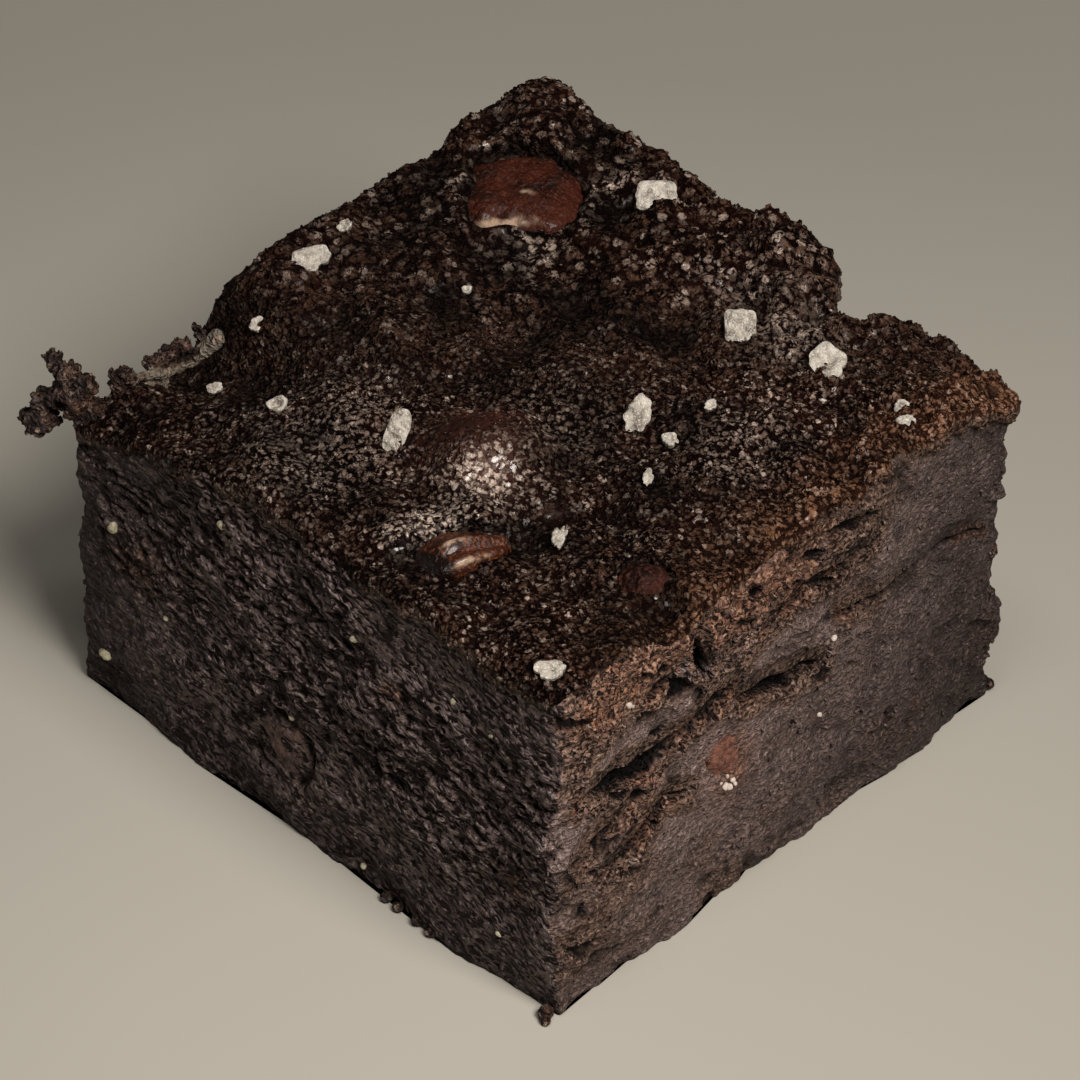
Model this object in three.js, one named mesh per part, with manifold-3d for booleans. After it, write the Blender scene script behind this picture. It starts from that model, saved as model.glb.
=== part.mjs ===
// One thick square chocolate brownie, cut on all four sides, lying on its flat foot. Millimetres, +Z up.
// The front left corner has slumped and a crumb hangs from it, and the back face has lost a bite of crust.
// Chocolate chips lie in the top crust and show in the cut front (-Y) and right (+X) faces.
import * as THREE from "three";
import { mergeVertices } from "three/addons/utils/BufferGeometryUtils.js";
import Module from "manifold-3d";

const wasm = await Module();
wasm.setup();

// Driving dimensions
const LENGTH = 59.4; // X, between the left and right faces at the top edge
const WIDTH = 59.6; // Y, between the front and back faces
const HEIGHT = 37.2; // foot to the level part of the top crust
const FLARE = 1.4; // how far the foot spreads past the top edge at the left and the right
const EDGE_FALL = 0.7; // how far the crust drops at its very edge
const GRID = 28; // cells along each side of the top
const ROWS = 13; // cells from the foot to the top edge
const GAP = 0.3; // clearance between a chip and its pocket

const CRUST = new THREE.MeshStandardMaterial({ color: 0x24150f, roughness: 0.45, metalness: 0 });
const CHOCOLATE = new THREE.MeshStandardMaterial({ color: 0x4a1f10, roughness: 0.25, metalness: 0 });

// Mounds (+) and hollows (-) of the top crust: centre x and y, radius, rise.
const MOUNDS = [
  { x: -30, y: 30, radius: 22, rise: 4.0 }, // the rear left corner, which baked highest
  { x: -29, y: -2, radius: 13, rise: 1.5 }, // crown of the left edge, behind the slump
  { x: 30, y: 13, radius: 13, rise: 1.3 }, // crown of the right edge
  { x: 3, y: 28, radius: 6.2, rise: 2.7 }, // knoll beside the bite
  { x: 8, y: 22, radius: 6, rise: 1.0 }, // its foot
  { x: 4.6, y: -12, radius: 4.4, rise: 2.6 }, // dome over a chip
  { x: -26, y: -7, radius: 4.5, rise: 1.0 }, // hump beside the slump
  { x: -13, y: -5, radius: 5, rise: 0.7 },
  { x: -8, y: 6, radius: 6, rise: -0.9 }, // hollow in front of the chunk
  { x: 17, y: 4, radius: 6, rise: 0.5 },
  { x: -29.5, y: -24.6, radius: 2.4, rise: 1.9 }, // knob beside the hanging crumb
  { x: -29.5, y: -17.6, radius: 3.2, rise: -1.4 }, // under the curled crust
  { x: 28, y: -15, radius: 3, rise: -0.9 }, // pit in the right edge
  { x: 30, y: 30, radius: 6, rise: -1.9 }, // rear right corner
  { x: 21, y: 28, radius: 5, rise: 0.5 },
];
// The slump of the front left corner: depth, and how far it reaches in from the corner each way.
const SLUMP = { depth: 5.6, reachX: 21, stepFrom: 13, stepTo: 19 };

// Bulges (+) and bites (-) of the cut faces: place along the face, height, spread both ways, push outwards.
const DENTS = {
  front: [
    { along: -22, z: 29, spread: 7, tall: 5, push: -0.7 },
    { along: 8, z: 20, spread: 12, tall: 9, push: 0.4 },
  ],
  right: [
    { along: -20, z: 22, spread: 9, tall: 3, push: -0.5 },
    { along: -6, z: 31, spread: 8, tall: 4, push: 0.5 },
    { along: 29, z: 20, spread: 5, tall: 6, push: -0.7 },
    { along: 14, z: 6, spread: 12, tall: 6, push: 0.4 },
  ],
  back: [
    { along: 3, z: 38, spread: 5, tall: 6, push: 1.3 },
    { along: 13, z: 38, spread: 3.2, tall: 8, push: -4.8 }, // the bite
    { along: -14, z: 30, spread: 9, tall: 8, push: -0.6 },
  ],
  left: [
    { along: -19, z: 34, spread: 5, tall: 3, push: -1.2 },
    { along: 2, z: 24, spread: 10, tall: 9, push: 0.6 },
  ],
};

// Low waves that keep every surface from being flat: wavelength, direction in degrees, height.
const WAVES = [
  { length: 17, turn: 20, height: 0.35 },
  { length: 11, turn: 115, height: 0.3 },
  { length: 7.3, turn: 62, height: 0.22 },
  { length: 5.1, turn: 158, height: 0.16 },
];

// Cracks torn along the layers of the right face: start and end along Y, height at each end, gape, depth.
const CRACKS = [
  { from: -28, to: 8, z: 22.9, zEnd: 22.2, gape: 1.3, depth: 2.4 },
  { from: -23, to: -9, z: 13.6, zEnd: 16.2, gape: 0.7, depth: 1.6 },
  { from: -28.5, to: -18, z: 16.4, zEnd: 18, gape: 0.6, depth: 1.4 },
];

// Chips in the top crust: place in plan, size along turn, across it and upwards, how proud they stand of the crust,
// how much they narrow at one end, and how square they are.
const TOP_CHIPS = [
  {
    name: "chip_front",
    place: [11.0, -22.0],
    size: [9, 5, 3.8],
    turn: 248,
    proud: 1.1,
    taper: 0.35,
    square: 2.4,
  },
  {
    name: "chunk_back",
    place: [-19.8, 16.9],
    size: [12.2, 11.8, 5],
    turn: 48,
    proud: 0.9,
    taper: 0.1,
    square: 3.2,
  },
  {
    name: "chip_crust",
    place: [24.4, -13.2],
    size: [6, 4.4, 3.4],
    turn: 45,
    proud: 0.6,
    taper: 0.25,
    square: 2,
  },
];
// Chips that the knife cut through, flush with a face: face, place along it, height, width, height, depth.
const CUT_CHIPS = [
  { name: "chip_cut_right", face: "right", along: -8.6, z: 16.4, width: 4.4, height: 5.4, depth: 2.6 },
  { name: "chip_cut_front", face: "front", along: -3, z: 10, width: 5.4, height: 6.4, depth: 2.6 },
];

// The crumb that hangs on the slumped corner: how far out from the left face, how far behind the front
// face, height and radius of each of its lumps.
const CORNER_CRUMB = [
  { out: -0.1, back: 1.8, z: 31.4, radius: 1.8 },
  { out: 1.4, back: 1.0, z: 33.0, radius: 1.6 },
  { out: 0.6, back: 1.8, z: 34.6, radius: 1.1 },
  { out: 3.0, back: 1.5, z: 34.6, radius: 1.3 },
  { out: 4.8, back: 1.8, z: 35.0, radius: 1.0 },
  { out: 3.0, back: 0.4, z: 32.5, radius: 1.2 },
  { out: 4.4, back: 0.0, z: 31.9, radius: 1.2 },
  { out: 4.3, back: -0.6, z: 29.9, radius: 1.5 },
  { out: 6.0, back: -1.0, z: 29.6, radius: 0.8 },
];

const smooth = (t) => {
  const s = THREE.MathUtils.clamp(t, 0, 1);
  return s * s * (3 - 2 * s);
};
const bump = (du, dv) => Math.exp(-(du * du + dv * dv));
const total = (values) => values.reduce((sum, value) => sum + value, 0);

function waves(a, b) {
  const heights = WAVES.map(({ length, turn, height }) => {
    const angle = THREE.MathUtils.degToRad(turn);
    const way = a * Math.cos(angle) + b * Math.sin(angle);
    return height * Math.sin((2 * Math.PI * way) / length + turn);
  });
  return total(heights);
}

// Height of the crust over a point of the foot.
function topHeight(x, y) {
  const mounds = MOUNDS.map((m) => m.rise * bump((x - m.x) / m.radius, (y - m.y) / m.radius));
  const inX = (x + LENGTH / 2) / SLUMP.reachX;
  const inY = (y + WIDTH / 2 - SLUMP.stepFrom) / (SLUMP.stepTo - SLUMP.stepFrom);
  const slump = SLUMP.depth * (1 - smooth(inX)) * (1 - smooth(inY));
  return HEIGHT + total(mounds) - slump + waves(x, y);
}

// How far a cut face stands out of its plane.
function wall(face, along, z) {
  const dents = DENTS[face].map((d) => d.push * bump((along - d.along) / d.spread, (z - d.z) / d.tall));
  return total(dents) + 0.6 * waves(along, z + 40 * face.length);
}

// A point of the skin: u and v run from -1 to 1 across the foot, and w from 0 at the foot to 1 at the crust.
function skinPoint(u, v, w) {
  const x = (u * LENGTH) / 2;
  const y = (v * WIDTH) / 2;
  const rim = Math.max(Math.abs(u), Math.abs(v)) === 1 ? EDGE_FALL : 0;
  const z = w * (topHeight(x, y) - rim);
  const outX = u ** 4 * wall(u < 0 ? "left" : "right", y, z) + Math.abs(u) * FLARE * (1 - w);
  const outY = v ** 4 * wall(v < 0 ? "front" : "back", x, z);
  return [x + Math.sign(u) * outX, y + Math.sign(v) * outY, z];
}

// Adds a grid of cells to a list of corner positions. point(i, j) gives each corner, counter-clockwise from outside.
function addGrid(positions, columns, rows, point) {
  for (let i = 0; i < columns; i++)
    for (let j = 0; j < rows; j++) {
      const [a, b, c, d] = [point(i, j), point(i + 1, j), point(i + 1, j + 1), point(i, j + 1)];
      positions.push(...a, ...b, ...c, ...a, ...c, ...d);
    }
}

function brownieSkin() {
  const positions = [];
  const along = (i) => (2 * i) / GRID - 1;
  addGrid(positions, GRID, GRID, (i, j) => skinPoint(along(i), along(j), 1));
  addGrid(positions, GRID, ROWS, (i, j) => skinPoint(along(i), -1, j / ROWS));
  addGrid(positions, GRID, ROWS, (i, j) => skinPoint(1, along(i), j / ROWS));
  addGrid(positions, GRID, ROWS, (i, j) => skinPoint(-along(i), 1, j / ROWS));
  addGrid(positions, GRID, ROWS, (i, j) => skinPoint(-1, -along(i), j / ROWS));
  const corners = [[-1, -1], [1, -1], [1, 1], [-1, 1]];
  const foot = corners.flatMap(([u, v], k) => {
    const [nextU, nextV] = corners[(k + 1) % 4];
    return Array.from({ length: GRID }, (_, i) => {
      const t = i / GRID;
      return new THREE.Vector2(...skinPoint(u + (nextU - u) * t, v + (nextV - v) * t, 0));
    });
  });
  for (const [a, b, c] of THREE.ShapeUtils.triangulateShape(foot, []))
    for (const corner of [foot[a], foot[c], foot[b]]) positions.push(corner.x, corner.y, 0);
  return new THREE.BufferGeometry().setAttribute("position", new THREE.Float32BufferAttribute(positions, 3));
}

function solidFrom(geometry) {
  const bare = geometry.clone();
  bare.deleteAttribute("normal");
  bare.deleteAttribute("uv");
  const merged = mergeVertices(bare, 1e-3);
  return new wasm.Manifold(
    new wasm.Mesh({
      numProp: 3,
      vertProperties: new Float32Array(merged.attributes.position.array),
      triVerts: new Uint32Array(merged.index.array),
    }),
  );
}

function geometryOf(solid) {
  const { vertProperties, triVerts } = solid.getMesh();
  const geometry = new THREE.BufferGeometry();
  geometry.setAttribute("position", new THREE.BufferAttribute(vertProperties, 3));
  geometry.setIndex(new THREE.BufferAttribute(triVerts, 1));
  const flat = geometry.toNonIndexed();
  flat.computeVertexNormals();
  return flat;
}

// An egg-shaped lump: radii along its own axes, narrower towards +X by taper. It is round where square is 2, and its
// sides flatten as square rises.
function lumpGeometry([rx, ry, rz], taper, square = 2, slices = 18, stacks = 10) {
  const geometry = new THREE.SphereGeometry(1, slices, stacks);
  const place = geometry.attributes.position;
  for (let i = 0; i < place.count; i++) {
    const ball = [place.getX(i), place.getY(i), place.getZ(i)];
    const reach = ball.reduce((sum, part) => sum + Math.abs(part) ** square, 0) ** (-1 / square);
    const [x, y, z] = ball.map((part) => part * reach);
    const narrow = 1 - taper * smooth((x + 0.2) / 1.2);
    place.setXYZ(i, rx * x, ry * narrow * y, rz * narrow * z);
  }
  return geometry;
}

function topChip(chip, grow) {
  const [x, y] = chip.place;
  const radii = chip.size.map((size) => size / 2 + grow);
  const lump = lumpGeometry(radii, chip.taper, chip.square);
  lump.rotateZ(THREE.MathUtils.degToRad(chip.turn));
  lump.translate(x, y, topHeight(x, y) + chip.proud - chip.size[2] / 2);
  return solidFrom(lump);
}

function cutChip(chip, grow) {
  const lump = lumpGeometry([chip.width / 2 + grow, chip.depth + grow, chip.height / 2 + grow], 0.2);
  const stand = wall(chip.face, chip.along, chip.z);
  const foot = FLARE * (1 - chip.z / HEIGHT);
  if (chip.face === "right") {
    lump.rotateZ(Math.PI / 2);
    lump.translate(LENGTH / 2 + stand + foot, chip.along, chip.z);
  } else {
    lump.translate(chip.along, -WIDTH / 2 - stand, chip.z);
  }
  return solidFrom(lump);
}

// A crack's blade: a thin lens that follows a wandering line across the right face.
function crackBlade({ from, to, z, zEnd, gape, depth }) {
  const steps = 14;
  const line = Array.from({ length: steps + 1 }, (_, i) => {
    const t = i / steps;
    const y = from + (to - from) * t;
    const height = z + (zEnd - z) * t + 0.7 * Math.sin(y * 0.9) + 0.35 * Math.sin(y * 2.3);
    const x = LENGTH / 2 + wall("right", y, height) + FLARE * (1 - height / HEIGHT);
    return { x, y, height, open: Math.sin(Math.PI * t) ** 0.7 };
  });
  const ring = ({ x, y, height, open }) => {
    const half = 0.05 + (gape / 2) * open;
    const inner = x - 0.2 - depth * open;
    const mouth = [[x + 1, y, height - half], [x + 1, y, height + half]];
    return [...mouth, [inner, y, height + 0.05], [inner, y, height - 0.05]];
  };
  const rings = line.map(ring);
  const positions = [];
  addGrid(positions, steps, 4, (i, j) => rings[i][j % 4]);
  for (const [end, order] of [[rings[0], [0, 1, 2, 0, 2, 3]], [rings[steps], [0, 2, 1, 0, 3, 2]]])
    for (const corner of order) positions.push(...end[corner]);
  const blade = new THREE.BufferGeometry();
  blade.setAttribute("position", new THREE.Float32BufferAttribute(positions, 3));
  return solidFrom(blade);
}

function cornerCrumb() {
  return CORNER_CRUMB.map(({ out, back, z, radius }, i) => {
    const ball = lumpGeometry([radius * 1.1, radius * 0.95, radius], 0.2, 2, 10, 7);
    ball.rotateY(i * 1.1).rotateZ(i * 2.1);
    return solidFrom(ball.translate(-LENGTH / 2 - out, -WIDTH / 2 + back, z));
  });
}

// The crust flake that has curled up along the left edge of the slump.
function crustCurl() {
  const path = new THREE.CatmullRomCurve3([
    new THREE.Vector3(-29.6, -21.8, 33.5),
    new THREE.Vector3(-29.7, -18.7, 34.0),
    new THREE.Vector3(-29.4, -15.6, 33.9),
    new THREE.Vector3(-28.4, -11.8, 34.8),
  ]);
  const section = new THREE.Shape(new THREE.EllipseCurve(0, 0, 1.0, 0.45).getPoints(10).slice(0, 10));
  return solidFrom(new THREE.ExtrudeGeometry(section, { steps: 12, bevelEnabled: false, extrudePath: path }));
}

function buildBrownie() {
  let body = solidFrom(brownieSkin());
  const cutChips = CUT_CHIPS.map((chip) => ({ name: chip.name, solid: cutChip(chip, 0).intersect(body) }));
  const topChips = TOP_CHIPS.map((chip) => ({ name: chip.name, solid: topChip(chip, 0) }));
  for (const lump of [...cornerCrumb(), crustCurl()]) body = body.add(lump);
  for (const crack of CRACKS) body = body.subtract(crackBlade(crack));
  for (const chip of TOP_CHIPS) body = body.subtract(topChip(chip, GAP));
  for (const chip of CUT_CHIPS) body = body.subtract(cutChip(chip, GAP));
  return [{ name: "brownie", solid: body }, ...topChips, ...cutChips];
}

const parts = new THREE.Group();
for (const { name, solid } of buildBrownie()) {
  const mesh = new THREE.Mesh(geometryOf(solid), name === "brownie" ? CRUST : CHOCOLATE);
  mesh.name = name;
  parts.add(mesh);
}

// The frame's origin is the middle of the foot of the whole brownie, crumb included.
const middle = new THREE.Box3().setFromObject(parts).getCenter(new THREE.Vector3());
parts.position.set(-middle.x, -middle.y, 0);

const group = new THREE.Group();
group.add(parts);
export default group;
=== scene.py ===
import math

import bmesh
import bpy
import numpy as np
from mathutils import Matrix, Vector


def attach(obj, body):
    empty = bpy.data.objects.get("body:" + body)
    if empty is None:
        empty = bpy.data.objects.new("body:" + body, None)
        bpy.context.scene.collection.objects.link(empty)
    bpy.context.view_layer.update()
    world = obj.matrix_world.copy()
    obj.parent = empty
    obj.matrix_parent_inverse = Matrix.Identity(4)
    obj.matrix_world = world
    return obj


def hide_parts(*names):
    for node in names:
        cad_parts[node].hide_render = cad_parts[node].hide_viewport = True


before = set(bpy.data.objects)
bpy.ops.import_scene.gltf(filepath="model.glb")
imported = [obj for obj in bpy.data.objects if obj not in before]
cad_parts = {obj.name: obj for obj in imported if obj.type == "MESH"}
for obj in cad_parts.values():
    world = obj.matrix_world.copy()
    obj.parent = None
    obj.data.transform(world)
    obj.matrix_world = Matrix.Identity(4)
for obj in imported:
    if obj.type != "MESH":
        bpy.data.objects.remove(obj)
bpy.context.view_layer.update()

# -------------------------------------------------------------------------------------------------------
# The crumb: the dense fudgy inside of the square, baked dough that is one with the crust above it. A knife
# cut all four sides, dragged the front face into fine slanting ridges and tore the right face open along
# its layers. It stands on its foot.
MM = 0.001
BOX_SHIFT = np.array([2.396, 0.311, 0.0])  # the block's middle, in the box that the hanging crumb widens
LENGTH, WIDTH, HEIGHT = 59.4, 59.6, 37.2
FLARE = 1.4  # how far the left and right faces spread at the foot
KNIFE_LEAN = math.radians(-14)  # slant of the ridges that the knife drew on the front face
MOUNDS = [  # x, y, radius, rise
    (-30, 30, 22, 4.0),
    (-29, -2, 13, 1.5),
    (30, 13, 13, 1.3),
    (3, 28, 6.2, 2.7),
    (8, 22, 6, 1.0),
    (3.8, -12, 4.6, 2.8),
    (-26, -7, 4.5, 1.0),
    (-13, -5, 5, 0.7),
    (-8, 6, 6, -0.9),
    (17, 4, 6, 0.5),
    (-29.5, -24.6, 2.4, 1.9),
    (-29.5, -17.6, 3.2, -1.4),
    (28, -15, 3, -0.9),
    (30, 30, 6, -1.9),
    (21, 28, 5, 0.5),
]
SLUMP = {"depth": 5.6, "reach_x": 21, "step_from": 13, "step_to": 19}  # the front left corner, sunk
DENTS = {  # along the face, height, spread, tall, push outwards
    "front": [(-22, 29, 7, 5, -0.7), (8, 20, 12, 9, 0.4)],
    "right": [(-20, 22, 9, 3, -0.5), (-6, 31, 8, 4, 0.5), (29, 20, 5, 6, -0.7), (14, 6, 12, 6, 0.4)],
    "back": [(3, 38, 5, 6, 1.3), (13, 38, 3.2, 8, -4.8), (-14, 30, 9, 8, -0.6)],
    "left": [(-19, 34, 5, 3, -1.2), (2, 24, 10, 9, 0.6)],
}
WAVES = [(17, 20, 0.35), (11, 115, 0.3), (7.3, 62, 0.22), (5.1, 158, 0.16)]  # length, direction, height
CRACKS = [  # places along the right face, their heights, the gape at each, and the depth of all
    (
        (-27.5, -25.2, -22.4, -20.5, -18.9, -17.3, -15.8, -14.2, -12.3),
        (23.9, 23.6, 23.2, 22.8, 22.0, 22.2, 22.8, 23.1, 23.3),
        (0.3, 0.6, 1.2, 1.5, 2.0, 1.6, 1.2, 1.1, 0.5),
        3.0,
    ),
    ((-13.0, -11.1, -9.8, -7.9, -6.5), (23.9, 24.3, 24.9, 25.1, 24.6), (0.3, 1.2, 1.0, 0.8, 0.2), 2.4),
    (
        (-7.0, -5.7, -2.3, 0.1, 2.5, 5.0),
        (22.9, 22.4, 21.5, 20.5, 20.5, 19.8),
        (0.3, 0.6, 0.9, 1.0, 0.6, 0.2),
        2.4,
    ),
    (
        (-24.5, -21.2, -19.0, -16.9, -15.3, -12.5),
        (13.7, 14, 14.6, 15.8, 16.3, 15.4),
        (0.2, 0.6, 0.5, 0.9, 0.5, 0.2),
        1.7,
    ),
    ((-18.5, -17.2, -15.7, -14.5), (29.8, 30.1, 30.5, 30.8), (0.2, 1.0, 0.8, 0.2), 1.5),
    ((-13.4, -12.7, -11.7, -11.0), (33.0, 32.2, 29.8, 29.0), (0.5, 2.6, 2.2, 0.5), 2.3),
    ((-28.0, -24.0, -20.0), (17.0, 18.4, 19.2), (0.2, 0.5, 0.2), 1.2),
    ((6.0, 14.0, 22.0, 28.0), (24.6, 23.0, 23.4, 21.5), (0.2, 0.6, 0.4, 0.1), 1.2),
    ((-5.0, 2.0, 12.0), (29.2, 30.4, 30.2), (0.2, 0.6, 0.2), 1.2),
]
EDGE_ROUND = 0.8  # radius of the block's edges
SEAM_DROP = 0.9  # the crumb ends this far under the top of the crust
HIDDEN_DROP = 1.5  # and this much lower where it can't be seen
SKIN = 4.0  # thickness of the front and right skins
BACK_STEPS = 9  # points along a skin's hidden back


def smooth(t):
    """Goes softly from 0 to 1 as t does."""
    s = np.clip(t, 0, 1)
    return s * s * (3 - 2 * s)


def hill(du, dv):
    """A round hill: 1 at its middle, and next to nothing two reaches away."""
    return np.exp(-(du * du + dv * dv))


def waves(a, b):
    """The slight unevenness of a whole face, in millimetres."""
    total = 0
    for length, turn, height in WAVES:
        along = a * np.cos(np.radians(turn)) + b * np.sin(np.radians(turn))
        total = total + height * np.sin(2 * np.pi * along / length + turn)
    return total


def top_height(x, y):
    """Height of the crust over a place in plan, before its grain."""
    mounds = sum(rise * hill((x - mx) / radius, (y - my) / radius) for mx, my, radius, rise in MOUNDS)
    in_x = (x + LENGTH / 2) / SLUMP["reach_x"]
    in_y = (y + WIDTH / 2 - SLUMP["step_from"]) / (SLUMP["step_to"] - SLUMP["step_from"])
    slump = SLUMP["depth"] * (1 - smooth(in_x)) * (1 - smooth(in_y))
    return HEIGHT + mounds - slump + waves(x, y)


def wall(face, along, z):
    """How far a side face stands out of the true block, before its grain."""
    dents = sum(push * hill((along - a) / wide, (z - h) / tall) for a, h, wide, tall, push in DENTS[face])
    return dents + 0.6 * waves(along, z + 40 * len(face))


def settle(x, y, z):
    """Moves points of a true block to where the baked and cut one has them."""
    u, v = x / (LENGTH / 2), y / (WIDTH / 2)
    out_x = u**4 * np.where(u < 0, wall("left", y, z), wall("right", y, z))
    out_y = v**4 * np.where(v < 0, wall("front", x, z), wall("back", x, z))
    out_x = out_x + np.abs(u) * FLARE * (1 - z / HEIGHT)
    return np.stack([x + np.sign(u) * out_x, y + np.sign(v) * out_y, z], -1)


def lattice(cell, seed):
    """A fixed random number from 0 to 1 for each whole-numbered cell."""
    x, y, z = (cell[..., k].astype(np.int64) for k in range(3))
    h = (x * 374761393 + y * 668265263 + z * 1440670441 + seed * 1274126177) & 0x7FFFFFFF
    h = ((h ^ (h >> 13)) * 1103515245 + 12345) & 0x7FFFFFFF
    h = ((h ^ (h >> 15)) * 1597334677) & 0x7FFFFFFF
    return (h ^ (h >> 16)) / 0x7FFFFFFF


def cloud(points, size, seed):
    """Soft noise from -1 to 1 in lumps about size across."""
    place = points / size
    cell = np.floor(place)
    part = place - cell
    part = part * part * (3 - 2 * part)
    total = 0
    for corner in np.ndindex(2, 2, 2):
        share = np.prod(np.where(corner, part, 1 - part), axis=-1)
        total = total + share * lattice(cell + corner, seed)
    return 2 * total - 1


def rough(points, size, octaves, seed):
    """Soft noise from -1 to 1 with finer and finer lumps in it."""
    layers = [cloud(points, size / 2**k, seed + k) / 2**k for k in range(octaves)]
    return sum(layers) / (2 - 2 / 2**octaves)


def grains(points, size, seed):
    """Packed grains: how far each point is from its grain's middle, and that grain's own number."""
    place = points / size
    cell = np.floor(place)
    nearest = np.full(len(points), 9.0)
    number = np.zeros(len(points))
    for step in np.ndindex(3, 3, 3):
        near = cell + np.array(step) - 1
        middle = near + np.stack([lattice(near, seed + k) for k in range(3)], -1)
        away = ((place - middle) ** 2).sum(-1)
        closer = away < nearest
        nearest = np.where(closer, away, nearest)
        number = np.where(closer, lattice(near, seed + 7), number)
    return np.sqrt(nearest), number


def outward(points, quads):
    """The outward direction at each point of a shell of four-sided faces."""
    corners = points[quads]
    face = np.cross(corners[:, 2] - corners[:, 0], corners[:, 3] - corners[:, 1])
    way = np.zeros_like(points)
    for k in range(4):
        np.add.at(way, quads[:, k], face)
    return way / np.maximum(np.linalg.norm(way, axis=1, keepdims=True), 1e-9)


def loops_to_quads(loops):
    """Quads between neighbouring closed loops of equal length, each given from the lowest loop up."""
    faces = []
    for lower, upper in zip(loops[:-1], loops[1:]):
        faces.append(np.stack([lower, np.roll(lower, -1), np.roll(upper, -1), upper], -1))
    return np.concatenate(faces)


def set_mark(mesh, name, values):
    """Keeps one value for each point, for the materials and the loose grain to read."""
    layer = mesh.attributes.new(name, "FLOAT", "POINT")
    layer.data.foreach_set("value", np.asarray(values, np.float32))


def new_object(name, data):
    made = bpy.data.objects.new(name, data)
    bpy.context.scene.collection.objects.link(made)
    return made


def make_piece(name, points, quads, fans=(), marks=None):
    """A closed mesh from points in millimetres, four-sided faces and fans given as (loop, middle)."""
    faces = quads.tolist()
    for loop, middle in fans:
        faces += [[a, b, middle] for a, b in zip(loop.tolist(), np.roll(loop, -1).tolist())]
    mesh = bpy.data.meshes.new(name)
    mesh.from_pydata(((points + BOX_SHIFT) * MM).tolist(), [], faces)
    mesh.polygons.foreach_set("use_smooth", np.ones(len(faces), bool))
    for title, values in (marks or {}).items():
        set_mark(mesh, title, values)
    mesh.update()
    return new_object(name, mesh)


def block_outline(cells, arc, tuck):
    """The block's outline in plan, anticlockwise from the front left corner, with its corners rounded.

    Cells are counted along the front, right, back and left; tuck sets each side that far in."""
    half_x, half_y = LENGTH / 2 - EDGE_ROUND, WIDTH / 2 - EDGE_ROUND
    starts = [(-half_x, -half_y), (half_x, -half_y), (half_x, half_y), (-half_x, half_y)]
    core, turn, inset = [], [], []
    for k in range(4):
        here, there = np.array(starts[k]), np.array(starts[(k + 1) % 4])
        for t in np.linspace(0, 1, cells[k], endpoint=False):
            core.append(here + (there - here) * t)
            turn.append(90 * k - 90)
            inset.append(tuck[k])
        for t in np.linspace(0, 1, arc, endpoint=False):
            core.append(there)
            turn.append(90 * k - 90 + 90 * t)
            inset.append(tuck[k] + (tuck[(k + 1) % 4] - tuck[k]) * t)
    turn = np.radians(turn)
    return np.array(core), np.stack([np.cos(turn), np.sin(turn)], -1), np.array(inset)


def skin_outline(turned, cells, arc, tuck):
    """One cut face's skin in plan: the face with both corners, and a straight way back inside.

    It is the front face, or with turned the right one. Tuck sets the first corner that far in."""
    half_u, half_v = (WIDTH / 2, LENGTH / 2) if turned else (LENGTH / 2, WIDTH / 2)
    half_u, half_v = half_u - EDGE_ROUND, half_v - EDGE_ROUND
    rounding = np.linspace(0, 1, arc, endpoint=False)
    rows = [(-half_u, -half_v + 1.2 - 0.4 * k, 180, 0.35 - 0.1 * k + tuck) for k in range(3)]
    rows += [(-half_u, -half_v, 180 + 90 * t, tuck * (1 - t)) for t in rounding]
    rows += [(-half_u + 2 * half_u * t, -half_v, 270, 0) for t in np.linspace(0, 1, cells, endpoint=False)]
    rows += [(half_u, -half_v, 270 + 90 * t, 0) for t in rounding]
    rows += [(half_u, -half_v + 0.4 * k, 0, 0.05 + 0.1 * k) for k in range(1, 4)]
    back = -half_v + SKIN - 2 * EDGE_ROUND
    rows += [(x, back, 90, 0) for x in np.linspace(half_u - 1.5, 1.5 - half_u, BACK_STEPS)]
    u, v, turn, inset = np.array(rows).T
    turn = np.radians(turn + (90 if turned else 0))
    core = np.stack([-v, u] if turned else [u, v], -1)
    shown = np.arange(len(rows)) < len(rows) - BACK_STEPS
    return core, np.stack([np.cos(turn), np.sin(turn)], -1), inset, shown


def crack_depth(y, z, wider=0.0):
    """How deep the torn layers of the right face gape."""
    depth = np.zeros_like(y)
    place = np.stack([y, z / 3, np.zeros_like(y)], -1)
    wander = 0.35 * cloud(place, 1.7, 61)
    for along, heights, gapes, deep in CRACKS:
        line = np.interp(y, along, heights) + wander
        half = 0.54 * np.interp(y, along, gapes, left=0, right=0) + 0.02
        ends = smooth((np.minimum(y - along[0], along[-1] - y) + wider) / (0.6 + wider))
        ragged = half * (1 + 0.3 * cloud(place, 1.1, 63)) + wider
        depth = np.maximum(depth, deep * ends * np.exp(-(((z - line) / ragged) ** 4)))
    return depth


def knife_ridges(points):
    """Fine slanting ridges that the knife dragged across the front face."""
    x, y, z = points.T
    c, s = np.cos(KNIFE_LEAN), np.sin(KNIFE_LEAN)
    drag = np.stack([x * c + z * s, y, z * c - x * s], -1)
    wave = 0.5 * cloud(drag, 2.2, 29)
    drag = np.stack([drag[:, 0] / 2.3, drag[:, 1], drag[:, 2] + wave], -1)
    dragged = smooth((cloud(points, 11, 21) + 0.55) / 0.6) * (0.25 + 0.75 * smooth((z - 6) / 9))
    return 0.52 * dragged * (smooth((rough(drag, 0.62, 2, 23) + 0.3) / 0.55) - 0.5)


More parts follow.
